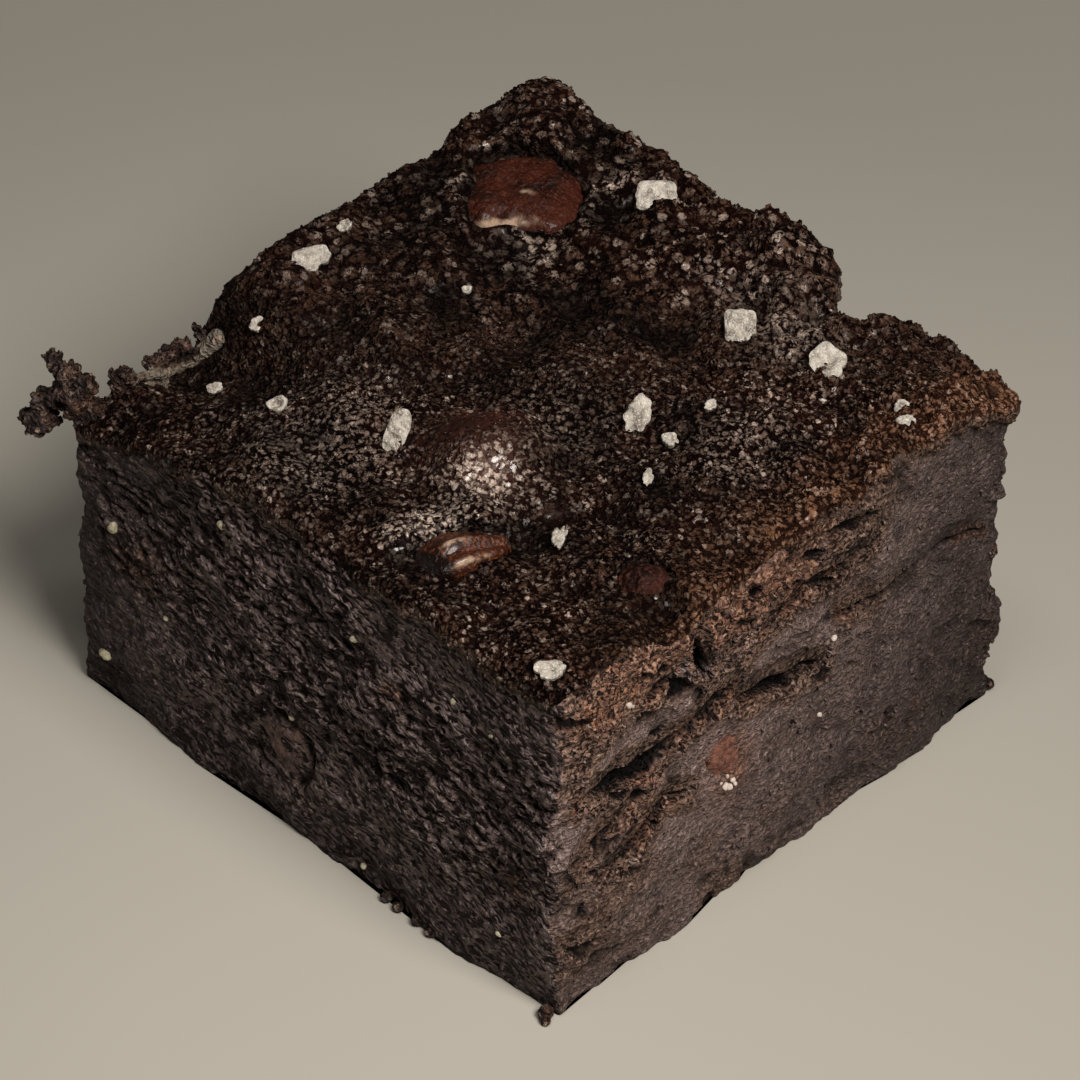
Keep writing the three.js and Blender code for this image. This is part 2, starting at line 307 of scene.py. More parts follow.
def torn_ledges(points):
    """Ledges where a face came apart along its layers."""
    y, z = points[:, 1], points[:, 2]
    torn = smooth((rough(points, 10, 2, 37) + 0.35 - 0.02 * np.abs(y + 10)) / 0.4) * smooth((z - 3) / 4)
    bend = z + 1.6 * cloud(points / np.array([1, 2.2, 1]), 5.0, 33)
    bend = bend + 0.5 * cloud(points / np.array([1, 1.6, 1]), 1.6, 35)
    ledge = -bend / 2.9 % 1.0
    return torn * 0.9 * (ledge**1.6 - 0.4) * (0.4 + 0.6 * smooth((cloud(points, 3.0, 39) + 0.2) / 0.6))


def crumbly_places(points):
    """Where the right face broke up into crumbs: round the cracks, and up by the crust."""
    y, z = points[:, 1], points[:, 2]
    crumbly = crack_depth(y, z, 2.0) / 2 + smooth((z - 26) / 5) * smooth((16 - y) / 10)
    return np.clip(crumbly + 0.9 * rough(points, 7, 2, 49) + 0.35 * smooth((4 - y) / 16), 0.12, 1)


def chunk_moat(points):
    """The gap round the chunk that the knife cut low on the front face, and the small holes beside it."""
    x, z = points[:, 0], points[:, 2]
    round_chunk = np.hypot((x + 3.6) / 4.0, (z - 9.6) / 4.2) + 0.3 * rough(points, 2.4, 2, 57)
    moat = hill((round_chunk - 1) / 0.15, 0) * smooth((rough(points, 3.2, 2, 59) + 0.25) / 0.3)
    holes = hill((x + 6.6) / 2.4, (z - 9.6) / 3.6) * smooth((cloud(points, 1.1, 65) - 0.1) / 0.2)
    return np.maximum(moat, holes)


def rusty_places(points, right, blotches):
    """Where the crumb is rusty: in blotches on the front, and by the crust, the cracks and the cut chip."""
    y, z = points[:, 1], points[:, 2]
    near_crack = np.clip(crack_depth(y, z, 0.7), 0, 1)
    uneven = rough(points, 6, 3, 47)
    near_crust = smooth((z - 29) / 5) * smooth((9 - y) / 5)
    rust = 0.7 * smooth((uneven + 0.45 * near_crack + 0.75 * near_crust - 0.38) / 0.4)
    rust = np.maximum(rust, 1.3 * hill((y + 26) / 2.2, (z - 33.3) / 1.5))
    by_cut_chip = hill((y + 7.6) / 2.6, (z - 15.2) / 3.6) * smooth((uneven + 0.6) / 0.5)
    rust = np.maximum(rust, 0.9 * by_cut_chip) * right
    return np.clip(np.maximum(rust, 0.8 * blotches * smooth((uneven + 0.5) / 0.5)), 0, 1)


def crumb_relief(points, way):
    """Height of the cut crumb's grain, and how hollow (for painted shade), rusty and crumbly each place is.
    """
    x, y, z = points.T
    front, right = np.clip(-way[:, 1], 0, 1), np.clip(way[:, 0], 0, 1)
    other = np.clip(1 - front - right, 0, 1)
    away, number = grains(points, 1.1, 3)
    pebble = 0.34 * (1 - smooth(away)) * (0.3 + number)
    lumps = 0.24 * rough(points, 4.6, 2, 11)
    fine = 0.2 * rough(points, 0.75, 2, 17)
    crumbly = crumbly_places(points) * right
    ledges = torn_ledges(points)
    slots = cloud(np.stack([x, y / 2.1, z + 0.3 * y], -1), 1.15, 41)
    pits = smooth((slots - 0.37) / 0.22)
    cracks = crack_depth(y, z) * (right > 0.5)
    gape = smooth(cracks / 0.5)
    lip = right * np.clip(2 * crack_depth(y, z - 0.9, 0.8), 0, 1)
    clods = 0.8 * (1 - smooth(grains(points, 2.1, 51)[0] * 1.2)) * crumbly
    ragged_corner = 1.1 * right * hill((y - 30) / 2.2, 0) * rough(points, 2.6, 2, 45)
    height = lumps + fine + front * (knife_ridges(points) + 0.35 * pebble)
    height = height + right * (ledges + clods) + 0.6 * other * ledges
    height = height + (right * (0.35 + 0.65 * crumbly) + other) * pebble
    height = height - pits * (0.9 * right * crumbly + 0.4 * other)
    height = height - lip * np.maximum(height + 0.15, 0)
    moat = front * chunk_moat(points)
    # Hollows: low places, pits, crack mouths and the moat, painted near black as painted shade.
    hollow = np.clip((0.1 + lumps - height) / 0.45, 0, 1) ** 1.3
    hollow = np.maximum(np.maximum(hollow, gape), np.maximum(0.9 * moat, pits * (0.3 + 0.7 * crumbly)))
    height = (height - 0.7 * moat) * (1 - gape) - cracks + ragged_corner
    blotches = 0.7 * hill((x + 3.2) / 3.0, (z - 9.2) / 3.4) + hill((x + 20.5) / 4, (z - 19.5) / 2.5)
    blotches = blotches + hill((x - 26) / 1.6, (z - 13) / 2.2) + hill((x - 11.3) / 1.5, (z - 26) / 1)
    rust = rusty_places(points, right, front * blotches)
    return height, hollow, rust, np.maximum(crumbly, 0.7 * front * np.clip(blotches, 0, 1))


def make_crumb(name, core, way, inset, shown, rows):
    """One closed part of the crumb, standing on its foot and tucked in under the crust."""
    around = len(core)
    edge = core + (EDGE_ROUND - inset)[:, None] * way
    drop = SEAM_DROP + HIDDEN_DROP * ~shown
    seam = top_height(edge[:, 0], edge[:, 1]) - drop
    rings = []
    for j in range(rows + 1):
        rings.append(settle(edge[:, 0], edge[:, 1], seam * j / rows))
    for tuck, rise in ((0.5, 0.2), (1.2, 0.1), (1.4, -3.0)):
        inner = core + (EDGE_ROUND - inset - tuck)[:, None] * way
        under = top_height(inner[:, 0], inner[:, 1]) - drop
        rings.append(settle(inner[:, 0], inner[:, 1], under + rise))
    points = np.concatenate(rings)
    loops = [np.arange(around) + around * k for k in range(len(rings))]
    quads = loops_to_quads(loops)
    foot_middle, top_middle = len(points), len(points) + 1
    middle = edge.mean(0)
    points = np.concatenate([points, [[*middle, 0], [*middle, seam.min() - 4]]])
    normals = outward(points, quads)
    height, hollow, rust, crumbly = crumb_relief(points, normals)
    # Out of sight, the crumb is painted black as painted shade.
    out_of_sight = np.append(np.tile(~shown, len(rings)), [0, 0])
    hollow = np.maximum(hollow, out_of_sight)
    foot = 0.8 + 0.2 * smooth(points[:, 2] / 0.5)
    sides = np.arange(len(points)) < around * (rows + 1)
    moves = sides * np.append(np.tile(shown, len(rings)), [0, 0])
    points = points + normals * (height * foot * moves)[:, None]
    points[:, 2] = np.maximum(points[:, 2], 0)
    points[loops[0], 2] = 0
    fans = [(loops[0][::-1], foot_middle), (loops[-1], top_middle)]
    loose = moves * smooth((points[:, 2] - 0.7) / 1.2) * smooth(1.3 - 2 * hollow)
    loose = loose * (0.35 + 0.65 * smooth((cloud(points, 5, 43) + 0.3) / 0.6))
    marks = {"hollow": hollow, "rust": rust, "crumbly": crumbly, "grainy": loose * (0.3 + 0.7 * crumbly)}
    return make_piece(name, points, quads, fans, marks)


def make_core():
    """The middle of the block, with its left and back faces.

    Its front and right sides stand back, to leave room for the skins."""
    cells, behind_skins, rows = (30, 30, 168, 168), (3.3, 3.3, 0, 0), 110
    core, way, inset = block_outline(cells, 8, behind_skins)
    return make_crumb("crumb_core", core, way, inset, inset < 0.3, rows)


def make_skin(name, turned, tuck):
    cells, rows = 396, 226
    return make_crumb(name, *skin_outline(turned, cells, 7, tuck), rows)


def add(tree, kind, inputs=None, **settings):
    """Adds a node, sets it, and sets or links its inputs."""
    node = tree.nodes.new(kind)
    for name, value in settings.items():
        setattr(node, name, value)
    for name, value in (inputs or {}).items():
        if isinstance(value, bpy.types.NodeSocket):
            tree.links.new(value, node.inputs[name])
        else:
            node.inputs[name].default_value = value
    return node


def maths(tree, operation, *values):
    return add(tree, "ShaderNodeMath", dict(enumerate(values)), operation=operation).outputs[0]


def times(tree, first, second):
    return maths(tree, "MULTIPLY", first, second)


def vectors(tree, operation, first, second):
    """Works on two vectors: a resulting vector comes first, and a resulting number second."""
    return add(tree, "ShaderNodeVectorMath", {0: first, 1: second}, operation=operation).outputs


def scaled(tree, vector, amount):
    return add(tree, "ShaderNodeVectorMath", {0: vector, "Scale": amount}, operation="SCALE").outputs[0]


def axes(tree, vector):
    return add(tree, "ShaderNodeSeparateXYZ", {0: vector}).outputs


def soft_noise(tree, place, scale, detail):
    """Noise of this many lumps to a unit: its value comes first, and its colour second."""
    return add(tree, "ShaderNodeTexNoise", {"Vector": place, "Scale": scale, "Detail": detail}).outputs


def blend(tree, factor, first, second):
    """Mixes two colours."""
    inputs = {0: factor, 6: first, 7: second}
    return add(tree, "ShaderNodeMix", inputs, data_type="RGBA", clamp_factor=True).outputs[2]


def blend_value(tree, factor, first, second):
    return add(tree, "ShaderNodeMix", {0: factor, 2: first, 3: second}, data_type="FLOAT").outputs[0]


def spread(tree, value, low, high, new_low=0.0, new_high=1.0):
    """Stretches a value from low..high to new_low..new_high, and clamps it."""
    inputs = {0: value, 1: low, 2: high, 3: new_low, 4: new_high}
    return add(tree, "ShaderNodeMapRange", inputs).outputs[0]


def new_group(name, inputs, outputs):
    """A shader node group with these named sockets: (name, kind, value)."""
    tree = bpy.data.node_groups.new(name, "ShaderNodeTree")
    for title, kind, value in inputs:
        socket = tree.interface.new_socket(title, in_out="INPUT", socket_type="NodeSocket" + kind)
        if value is not None:
            socket.default_value = value
    for title, kind in outputs:
        tree.interface.new_socket(title, in_out="OUTPUT", socket_type="NodeSocket" + kind)
    return tree, tree.nodes.new("NodeGroupInput").outputs, tree.nodes.new("NodeGroupOutput")


def make_mottle_group():
    """Three shades of one colour, mixed in soft patches and again in fine specks."""
    shades = [(shade, "Color", (0, 0, 0, 1)) for shade in ("Dark", "Middle", "Light")]
    inputs = [("Place", "Vector", None), ("Size", "Float", 3.0), *shades]
    tree, given, result = new_group("mottle", inputs, [("Color", "Color")])
    scale = maths(tree, "DIVIDE", 1.0, given["Size"])
    patch = soft_noise(tree, given["Place"], scale, 4.0)[0]
    speck = soft_noise(tree, given["Place"], times(tree, scale, 7.0), 3.0)[0]
    deep = blend(tree, spread(tree, patch, 0.35, 0.6), given["Dark"], given["Middle"])
    color = blend(tree, spread(tree, speck, 0.52, 0.72), deep, given["Light"])
    tree.links.new(color, result.inputs["Color"])
    return tree


def make_wriggle_group():
    """Fine wriggling ridges: their height, and a mask that is 1 on the ridges and 0 in the gaps between."""
    inputs = [("Place", "Vector", None), ("Size", "Float", 0.5), ("Stretch", "Vector", (1, 1, 1))]
    inputs += [("Gap", "Float", 0.5), ("Softness", "Float", 0.08)]
    tree, given, result = new_group("wriggles", inputs, [("Height", "Float"), ("Ridge", "Float")])
    shaped = vectors(tree, "MULTIPLY", given["Place"], given["Stretch"])[0]
    scale = maths(tree, "DIVIDE", 1.0, given["Size"])
    twist = {"Vector": shaped, "Scale": scale, "Detail": 2.0, "Roughness": 0.45, "Distortion": 0.7}
    height = add(tree, "ShaderNodeTexNoise", twist).outputs[0]
    high = maths(tree, "ADD", given["Gap"], given["Softness"])
    ridge = spread(tree, height, given["Gap"], high)
    tree.links.new(height, result.inputs["Height"])
    tree.links.new(ridge, result.inputs["Ridge"])
    return tree


def make_dot_group():
    """Separate rounded granules: their height, a mask that is 1 on their crowns, and a number for each."""
    inputs = [("Place", "Vector", None), ("Size", "Float", 0.6)]
    outputs = [("Height", "Float"), ("Crown", "Float"), ("Number", "Float")]
    tree, given, result = new_group("dots", inputs, outputs)
    wobble = soft_noise(tree, given["Place"], 2.2, 2.0)[1]
    shift = scaled(tree, wobble, 0.55)
    moved = vectors(tree, "ADD", shift, given["Place"])[0]
    scale = maths(tree, "DIVIDE", 1.0, given["Size"])
    cells = add(tree, "ShaderNodeTexVoronoi", {"Vector": moved, "Scale": scale}).outputs
    number = add(tree, "ShaderNodeSeparateColor", {0: cells["Color"]}).outputs[0]
    tree.links.new(maths(tree, "SUBTRACT", 1.0, cells["Distance"]), result.inputs["Height"])
    tree.links.new(spread(tree, cells["Distance"], 0.62, 0.42), result.inputs["Crown"])
    tree.links.new(number, result.inputs["Number"])
    return tree


dot_group = make_dot_group()
mottle_group = make_mottle_group()
wriggle_group = make_wriggle_group()


def use_group(tree, group, inputs):
    return add(tree, "ShaderNodeGroup", inputs, node_tree=group).outputs


def place_mm(tree):
    """Each point's place in millimetres."""
    where = add(tree, "ShaderNodeTexCoord").outputs["Object"]
    return add(tree, "ShaderNodeMapping", {"Vector": where, "Scale": (1000, 1000, 1000)}).outputs[0]


def new_material(name, **fixed):
    """A material with a plain shader whose unchanging values are set on its own sockets."""
    material = bpy.data.materials.new(name)
    material.use_nodes = True
    tree = material.node_tree
    shader = tree.nodes["Principled BSDF"]
    for socket, value in fixed.items():
        shader.inputs[socket.replace("_", " ")].default_value = value
    return material, tree, shader


def mark(tree, name):
    return add(tree, "ShaderNodeAttribute", attribute_name=name).outputs["Fac"]


def rgb(red, green, blue):
    return (red, green, blue, 1)


def mottled(tree, place, size, dark, middle, light):
    """Three shades of one finish, mottled in patches of this size."""
    shades = {"Dark": rgb(*dark), "Middle": rgb(*middle), "Light": rgb(*light)}
    return use_group(tree, mottle_group, {"Place": place, "Size": size, **shades})["Color"]


def finish_with(tree, shader, **sockets):
    """Feeds these changing values into the shader."""
    for socket, value in sockets.items():
        tree.links.new(value, shader.inputs[socket.replace("_", " ")])


def make_crumb_material():
    material, tree, shader = new_material("cut crumb", Specular_IOR_Level=0.15)
    place = place_mm(tree)
    facing = axes(tree, add(tree, "ShaderNodeNewGeometry").outputs["Normal"])
    front = spread(tree, facing[1], -0.35, -0.75)
    crumbly = mark(tree, "crumbly")
    turned = add(tree, "ShaderNodeMapping", {"Vector": place, "Rotation": (0, KNIFE_LEAN, 0)}).outputs[0]
    torn_form = {"Place": place, "Size": 0.35, "Stretch": (1, 0.7, 1), "Gap": 0.40, "Softness": 0.16}
    torn = use_group(tree, wriggle_group, torn_form)
    dragged_form = {"Place": turned, "Size": 0.5, "Stretch": (0.52, 1, 1.15), "Gap": 0.45, "Softness": 0.08}
    dragged = use_group(tree, wriggle_group, dragged_form)
    dots = use_group(tree, dot_group, {"Place": place, "Size": 0.5})
    warm = mottled(tree, place, 2.6, (0.055, 0.030, 0.021), (0.105, 0.062, 0.044), (0.18, 0.115, 0.086))
    cool = mottled(tree, turned, 2.6, (0.056, 0.038, 0.037), (0.125, 0.090, 0.085), (0.27, 0.21, 0.195))
    even = spread(tree, crumbly, 0.15, 0.6, 0.65, 0.0)
    color = blend(tree, maths(tree, "MAXIMUM", front, even), warm, cool)
    lit = times(tree, dots["Number"], spread(tree, dots["Crown"], 0, 1, 0.35, 1))
    brown = blend(tree, lit, rgb(0.045, 0.017, 0.010), rgb(0.27, 0.125, 0.068))
    color = blend(tree, times(tree, mark(tree, "rust"), 0.85), color, brown)
    # Painted light: the other faces are painted paler near the front corner and higher up.
    spot = axes(tree, place)
    near_corner = times(tree, spread(tree, spot[1], 24, -10, -0.25, 1.0), spread(tree, spot[0], 14, 26))
    painted_light_sides = times(tree, maths(tree, "ADD", near_corner, 0.85), spread(tree, spot[2], 3, 30, 0.7, 1.35))
    # Painted light on the front face: paler to the right, with painted shade by its foot.
    above_foot = spread(tree, spot[2], 1, 11, 0.45, 1)
    painted_light_front = times(tree, spread(tree, spot[0], -27, -10, 0.55, 1.45), above_foot)
    color = scaled(tree, color, blend_value(tree, front, painted_light_sides, painted_light_front))
    color = blend(tree, mark(tree, "pale"), color, rgb(0.21, 0.175, 0.13))
    # Some granules are paler crumbs, and their crowns carry a painted highlight, most on crumbly places.
    crown_highlight = times(tree, dots["Crown"], spread(tree, dots["Number"], 0.62, 1.0, 0.0, 0.9))
    crown_highlight = times(tree, crown_highlight, maths(tree, "ADD", crumbly, times(tree, front, 0.2)))
    color = blend(tree, crown_highlight, color, rgb(0.42, 0.29, 0.215))
    ridge = blend_value(tree, front, torn["Ridge"], dragged["Ridge"])
    # Painted shade between the ridges: nearly black, deeper where crumbly, fainter on the pale flake.
    depth = spread(tree, crumbly, 0.1, 1.0, 0.4, 1.0)
    depth = blend_value(tree, front, depth, spread(tree, spot[0], -27, -14, 0.5, 1.0))
    gap_shade = times(tree, maths(tree, "SUBTRACT", 1.0, ridge), depth)
    gap_shade = times(tree, gap_shade, spread(tree, mark(tree, "pale"), 0.0, 0.8, 1.0, 0.35))
    color = blend(tree, gap_shade, color, rgb(0.009, 0.003, 0.002))
    # Painted shade: hollows, pits and cracks are painted near black.
    color = blend(tree, mark(tree, "hollow"), color, rgb(0.0025, 0.001, 0.0007))
    height = blend_value(tree, front, torn["Height"], dragged["Height"])
    height = maths(tree, "ADD", height, times(tree, dots["Height"], 0.16))
    bump = add(tree, "ShaderNodeBump", {"Height": height, "Distance": 0.001, "Strength": 1.0})
    dryness = spread(tree, dots["Number"], 0.0, 1.0, 0.5, 0.85)
    finish_with(tree, shader, Base_Color=color, Roughness=dryness, Normal=bump.outputs[0])
    return material


crumb_material = make_crumb_material()
core_crumb = make_core()
front_crumb = make_skin("crumb_front", False, 0.0)
right_crumb = make_skin("crumb_right", True, 0.12)
for piece in (core_crumb, front_crumb, right_crumb):
    piece.data.materials.append(crumb_material)
    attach(piece, "root")
    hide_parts("brownie")

# -------------------------------------------------------------------------------------------------------
# The crust: the thin top skin, damp and glistening, baked into tight grains that grow coarser to the back.
# It is one with the crumb below; its broken edge hangs a little over the cut faces.
CHIP_PITS = [  # x, y, reach along and across, turn
    (11.0, -22.0, 4.8, 2.6, 68),
    (-19.6, 16.9, 5.7, 5.3, 48),
    (24.4, -13.2, 2.5, 1.9, 45),
]
PITS = [  # x, y, radius, depth
    (27.6, -14.4, 1.5, 0.9),
    (8.5, -26.0, 1.3, 1.6),
    (13.7, -16.9, 1.7, 1.5),
    (-6, 9.5, 2.6, 0.7),
    (3.2, 12.0, 2.8, 0.6),
    (-12, 21, 2.4, 0.8),
]
PAINTED_HIGHLIGHTS = [  # x, y, radius, strength: where a highlight is painted on the crust, as pale crazed lines
    (6.8, -14.6, 2.9, 1.6),
    (7.4, -21.7, 2.2, 1.8),
    (6.3, -25.3, 1.5, 0.7),
    (-5.4, -25.0, 3.0, 0.35),
    (-9, -19.5, 7.0, 0.4),
    (6, -4.5, 5.0, 0.2),
    (18.6, 4.5, 4.5, 0.3),
    (6.1, 21.8, 4.0, 0.25),
    (12.4, 19.4, 3.2, 0.45),
    (-13.6, 12.0, 2.4, 0.8),
    (-13.7, 20.0, 1.6, 0.6),
    (-13.8, 24.5, 1.6, 0.6),
    (-24.5, 12.8, 1.3, 0.6),
]
BROKEN_EDGE = [  # out and down: the rings that round off the crust's edge and turn in under it
    (1.0, 0.15),
    (1.0, 0.3),
    (1.0, 0.45),
    (1.0, 0.6),
    (0.8, 0.7),
    (0.2, 0.6),
    (-1.2, 0.4),
]


def chip_pit(x, y):
    """1 inside the openings where chips lie in the crust, and 0 outside them."""
    inside = np.zeros_like(x)
    for px, py, long, wide, turn in CHIP_PITS:
        c, s = math.cos(math.radians(turn)), math.sin(math.radians(turn))
        along, across = (x - px) * c + (y - py) * s, (y - py) * c - (x - px) * s
        out = (np.abs(along / long) ** 2.6 + np.abs(across / wide) ** 2.6) ** (1 / 2.6)
        way = np.arctan2(across, along)
        out = out * (1 + 0.07 * np.sin(3 * way + px) + 0.05 * np.sin(8 * way + py))
        inside = np.maximum(inside, 1 - smooth((out - 0.86) / 0.24))
    return inside


def crust_relief(points):
    """The crust's grain height, hollows for painted shade, painted highlights, smoothness and painted
    sheen.
    """
    x, y = points[:, 0], points[:, 1]
    back = smooth((y - 4 + 0.35 * x) / 26)
    away, number = grains(points, 1.5, 53)
    lumps = 0.42 * (1 - smooth(away * 1.1)) * (0.3 + number)
    away_small, number_small = grains(points, 0.72, 61)
    tight = 0.22 * (1 - smooth(away_small)) * (0.3 + number_small)
    away_big, number_big = grains(points, 3.1, 67)
    folds = 1.15 * back * (1 - smooth(away_big * 1.15)) * (0.2 + number_big)
    swell = 0.5 * rough(points, 4.5, 2, 71)
    dome = hill((x - 3.6) / 5.2, (y + 11.6) / 5.2)
    height = swell * (1 - 0.6 * dome) + (lumps * (0.55 + 0.45 * back) + tight) * (1 - 0.55 * dome) + folds
    for px, py, radius, depth in PITS:
        height = height - depth * hill((x - px) / radius, (y - py) / radius)
    inside = chip_pit(x, y)
    height = height * (1 - 0.8 * inside) - 1.2 * inside
    # Low places count as hollow, which the material paints near black as painted shade.
    hollow = np.clip(0.5 - (height - 0.2) / 0.6, 0, 1)
    over_skins = 5 * np.maximum(0, 25.2 - np.maximum(x, -y))
    over_sides = 0.5 * np.maximum(0, 28.2 - np.maximum(-x, y))
    height = np.maximum(height, -0.45 - np.minimum(over_skins, over_sides))
    # Painted highlight: how strongly each place lies in a highlight spot.
    highlight = sum(strength * hill((x - sx) / radius, (y - sy) / radius) for sx, sy, radius, strength in PAINTED_HIGHLIGHTS)
    hollow = hollow * (1 - 0.6 * np.clip(highlight - 0.5, 0, 1))
    calm = 1.4 * hill((x - 1.8) / 3.6, (y + 11.2) / 4.2) + hill((x - 13.2) / 1.5, (y + 12.5) / 0.9)
    calm = np.clip(calm - highlight, 0, 1)
    # A pinkish painted sheen round the dome's highlight.
    pink_sheen = np.clip(1.2 * hill((x - 5.2) / 3.4, (y + 13.2) / 3.4), 0, 1)
    return height, hollow, highlight, calm, pink_sheen


def make_crust():
    """The sheet of crust: a fine grid on top, its broken edge, and an underside hidden in the crumb."""
    cells, arc, reach = 266, 6, 80
    lean = np.tan(np.radians(np.linspace(0, reach, arc + 1)[1:]))
    lean = np.concatenate([-lean[::-1], np.zeros(cells + 1), lean])

    def core_steps(half):
        flat = np.linspace(-half, half, cells + 1)
        return np.concatenate([np.full(arc, -half), flat, np.full(arc, half)])

    core_x, core_y = np.meshgrid(
        core_steps(LENGTH / 2 - EDGE_ROUND), core_steps(WIDTH / 2 - EDGE_ROUND), indexing="ij"
    )
    lean_x, lean_y = np.meshgrid(lean, lean, indexing="ij")
    long = np.sqrt(lean_x**2 + lean_y**2 + 1)
    x = core_x + EDGE_ROUND * lean_x / long
    y = core_y + EDGE_ROUND * lean_y / long
    drop = EDGE_ROUND * (1 - 1 / long)
    z = top_height(x, y) - drop
    side = len(lean)
    points = settle(x.ravel(), y.ravel(), z.ravel())
    index = np.arange(side * side).reshape(side, side)
    quads = np.stack([index[:-1, :-1], index[1:, :-1], index[1:, 1:], index[:-1, 1:]], -1).reshape(-1, 4)
    rim = np.concatenate([index[:-1, 0], index[-1, :-1], index[1:, -1][::-1], index[0, 1:][::-1]])
    flat_x, flat_y = x.ravel()[rim], y.ravel()[rim]
    outer = np.stack([flat_x - core_x.ravel()[rim], flat_y - core_y.ravel()[rim]], -1)
    outer = outer / np.linalg.norm(outer, axis=1, keepdims=True)
    base = np.stack([core_x.ravel()[rim], core_y.ravel()[rim]], -1)
    top = top_height(flat_x, flat_y)
    ragged = 0.5 + 0.5 * rough(points[rim], 3.4, 3, 83)
    loops, rings = [rim], []
    count = len(points)
    for out, down in BROKEN_EDGE:
        edge = base + outer * (EDGE_ROUND + 0.1 * (out > 0.9) + (out - 1))
        low = top - EDGE_ROUND * 0.83 - down * (0.5 + 1.3 * ragged)
        rings.append(settle(edge[:, 0], edge[:, 1], low))
        loops.append(np.arange(len(rim)) + count)
        count += len(rim)
    points = np.concatenate([points, *rings, [[0, 0, HEIGHT - 5.0]]])
    quads = np.concatenate([quads, loops_to_quads(loops[::-1])])
    normals = outward(points, quads)
    height, hollow, highlight, calm, pink_sheen = crust_relief(points)
    moves = np.ones(len(points))
    moves[loops[-3]], moves[loops[-2]], moves[loops[-1]], moves[-1] = 0.6, 0, 0, 0
    points = points + normals * (height * moves)[:, None]
    fans = [(loops[-1][::-1], len(points) - 1)]
    grainy = moves * smooth(1.2 - hollow) * (chip_pit(points[:, 0], points[:, 1]) < 0.5)
    grainy = grainy * (1 - 0.8 * calm)
    rim = smooth(1.3 - normals[:, 2] * 2.6)
    marks = {"hollow": hollow, "grainy": grainy, "highlight": highlight, "calm": calm, "pink_sheen": pink_sheen, "rim": rim}
    return make_piece("crust", points, quads, fans, marks)


def make_crust_material():
    material, tree, shader = new_material("damp crust", Specular_IOR_Level=0.05, Coat_Roughness=0.18)
    place = place_mm(tree)
    near = vectors(tree, "DOT_PRODUCT", place, (0.68, -0.73, 0))[1]
    back = spread(tree, near, 3.0, -13.0)
    glaze_form = {"Place": place, "Size": 0.55, "Stretch": (1, 1, 1), "Gap": 0.38, "Softness": 0.08}
    glaze = use_group(tree, wriggle_group, glaze_form)
    tight = use_group(tree, dot_group, {"Place": place, "Size": 0.52})
    coarse = use_group(tree, dot_group, {"Place": place, "Size": 0.88})
    crown = times(tree, blend_value(tree, back, tight["Crown"], coarse["Crown"]), glaze["Ridge"])
    number = blend_value(tree, back, tight["Number"], coarse["Number"])
    patch = soft_noise(tree, place, 0.2, 5.0)[0]
    highlight = mark(tree, "highlight")
    # In the highlight spots the crowns give way to crazed lines, which are painted pale as painted
    # highlight.
    crown = blend_value(tree, spread(tree, highlight, 0.5, 1.5, 0.0, 0.15), crown, glaze["Ridge"])
    # Painted highlights and glints: cream is painted on the highlight spots and on a few scattered
    # granules.
    scattered_glints = times(tree, maths(tree, "POWER", number, 5.0), spread(tree, patch, 0.35, 0.6, 0.35, 0.8))
    highlight_paint = times(tree, highlight, spread(tree, number, 0.0, 0.6, 0.45, 1.0))
    pale = maths(tree, "ADD", highlight_paint, scattered_glints)
    brown = mottled(tree, place, 2.4, (0.026, 0.009, 0.005), (0.062, 0.028, 0.016), (0.15, 0.09, 0.062))
    skin = blend(tree, pale, brown, rgb(0.62, 0.47, 0.375))
    spot = axes(tree, place)
    warm_edge = times(tree, spread(tree, spot[0], 25.5, 31.5), spread(tree, spot[1], -28, -14))
    skin = blend(tree, times(tree, warm_edge, 0.6), skin, rgb(0.27, 0.125, 0.065))
    patchy = spread(tree, patch, 0.42, 0.62)
    base = blend(tree, patchy, rgb(0.003, 0.0006, 0.0003), rgb(0.012, 0.003, 0.0015))
    base = blend(tree, times(tree, warm_edge, 0.5), base, rgb(0.04, 0.015, 0.008))
    # Painted sheen: pinkish round the dome's highlight.
    base = blend(tree, times(tree, mark(tree, "pink_sheen"), 0.6), base, rgb(0.12, 0.05, 0.036))
    # Crowns take their lighter colour and the gaps stay near black: the crust's own grain, with painted
    # light on the crowns and painted shade in the gaps.
    color = blend(tree, crown, base, skin)
    smooth_skin = blend(tree, glaze["Ridge"], rgb(0.022, 0.005, 0.003), rgb(0.058, 0.017, 0.010))
    color = blend(tree, times(tree, mark(tree, "calm"), 0.85), color, smooth_skin)
    crumb_color = blend(tree, glaze["Ridge"], rgb(0.012, 0.005, 0.003), rgb(0.12, 0.078, 0.058))
    color = blend(tree, times(tree, mark(tree, "rim"), 0.7), color, crumb_color)
    # Painted shade: the crust's hollows are painted near black.
    color = blend(tree, times(tree, mark(tree, "hollow"), 0.85), color, rgb(0.002, 0.0008, 0.0005))
    rough_height = maths(tree, "ADD", times(tree, tight["Height"], 0.4), glaze["Height"])
    height = times(tree, rough_height, spread(tree, mark(tree, "calm"), 0, 1, 1, 0.2))
    bump = add(tree, "ShaderNodeBump", {"Height": height, "Distance": 0.0009, "Strength": 1.0})
    wet = times(tree, crown, spread(tree, pale, 0.05, 0.5, 0.1, 0.55))
    wet = maths(tree, "MAXIMUM", wet, times(tree, mark(tree, "calm"), 0.35))
    dryness = spread(tree, wet, 0.0, 1.0, 0.6, 0.25)
    finish_with(tree, shader, Base_Color=color, Roughness=dryness, Coat_Weight=wet, Normal=bump.outputs[0])
    return material


crust = make_crust()
crust_material = make_crust_material()
crust.data.materials.append(crust_material)
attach(crust, "root")
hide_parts("brownie")

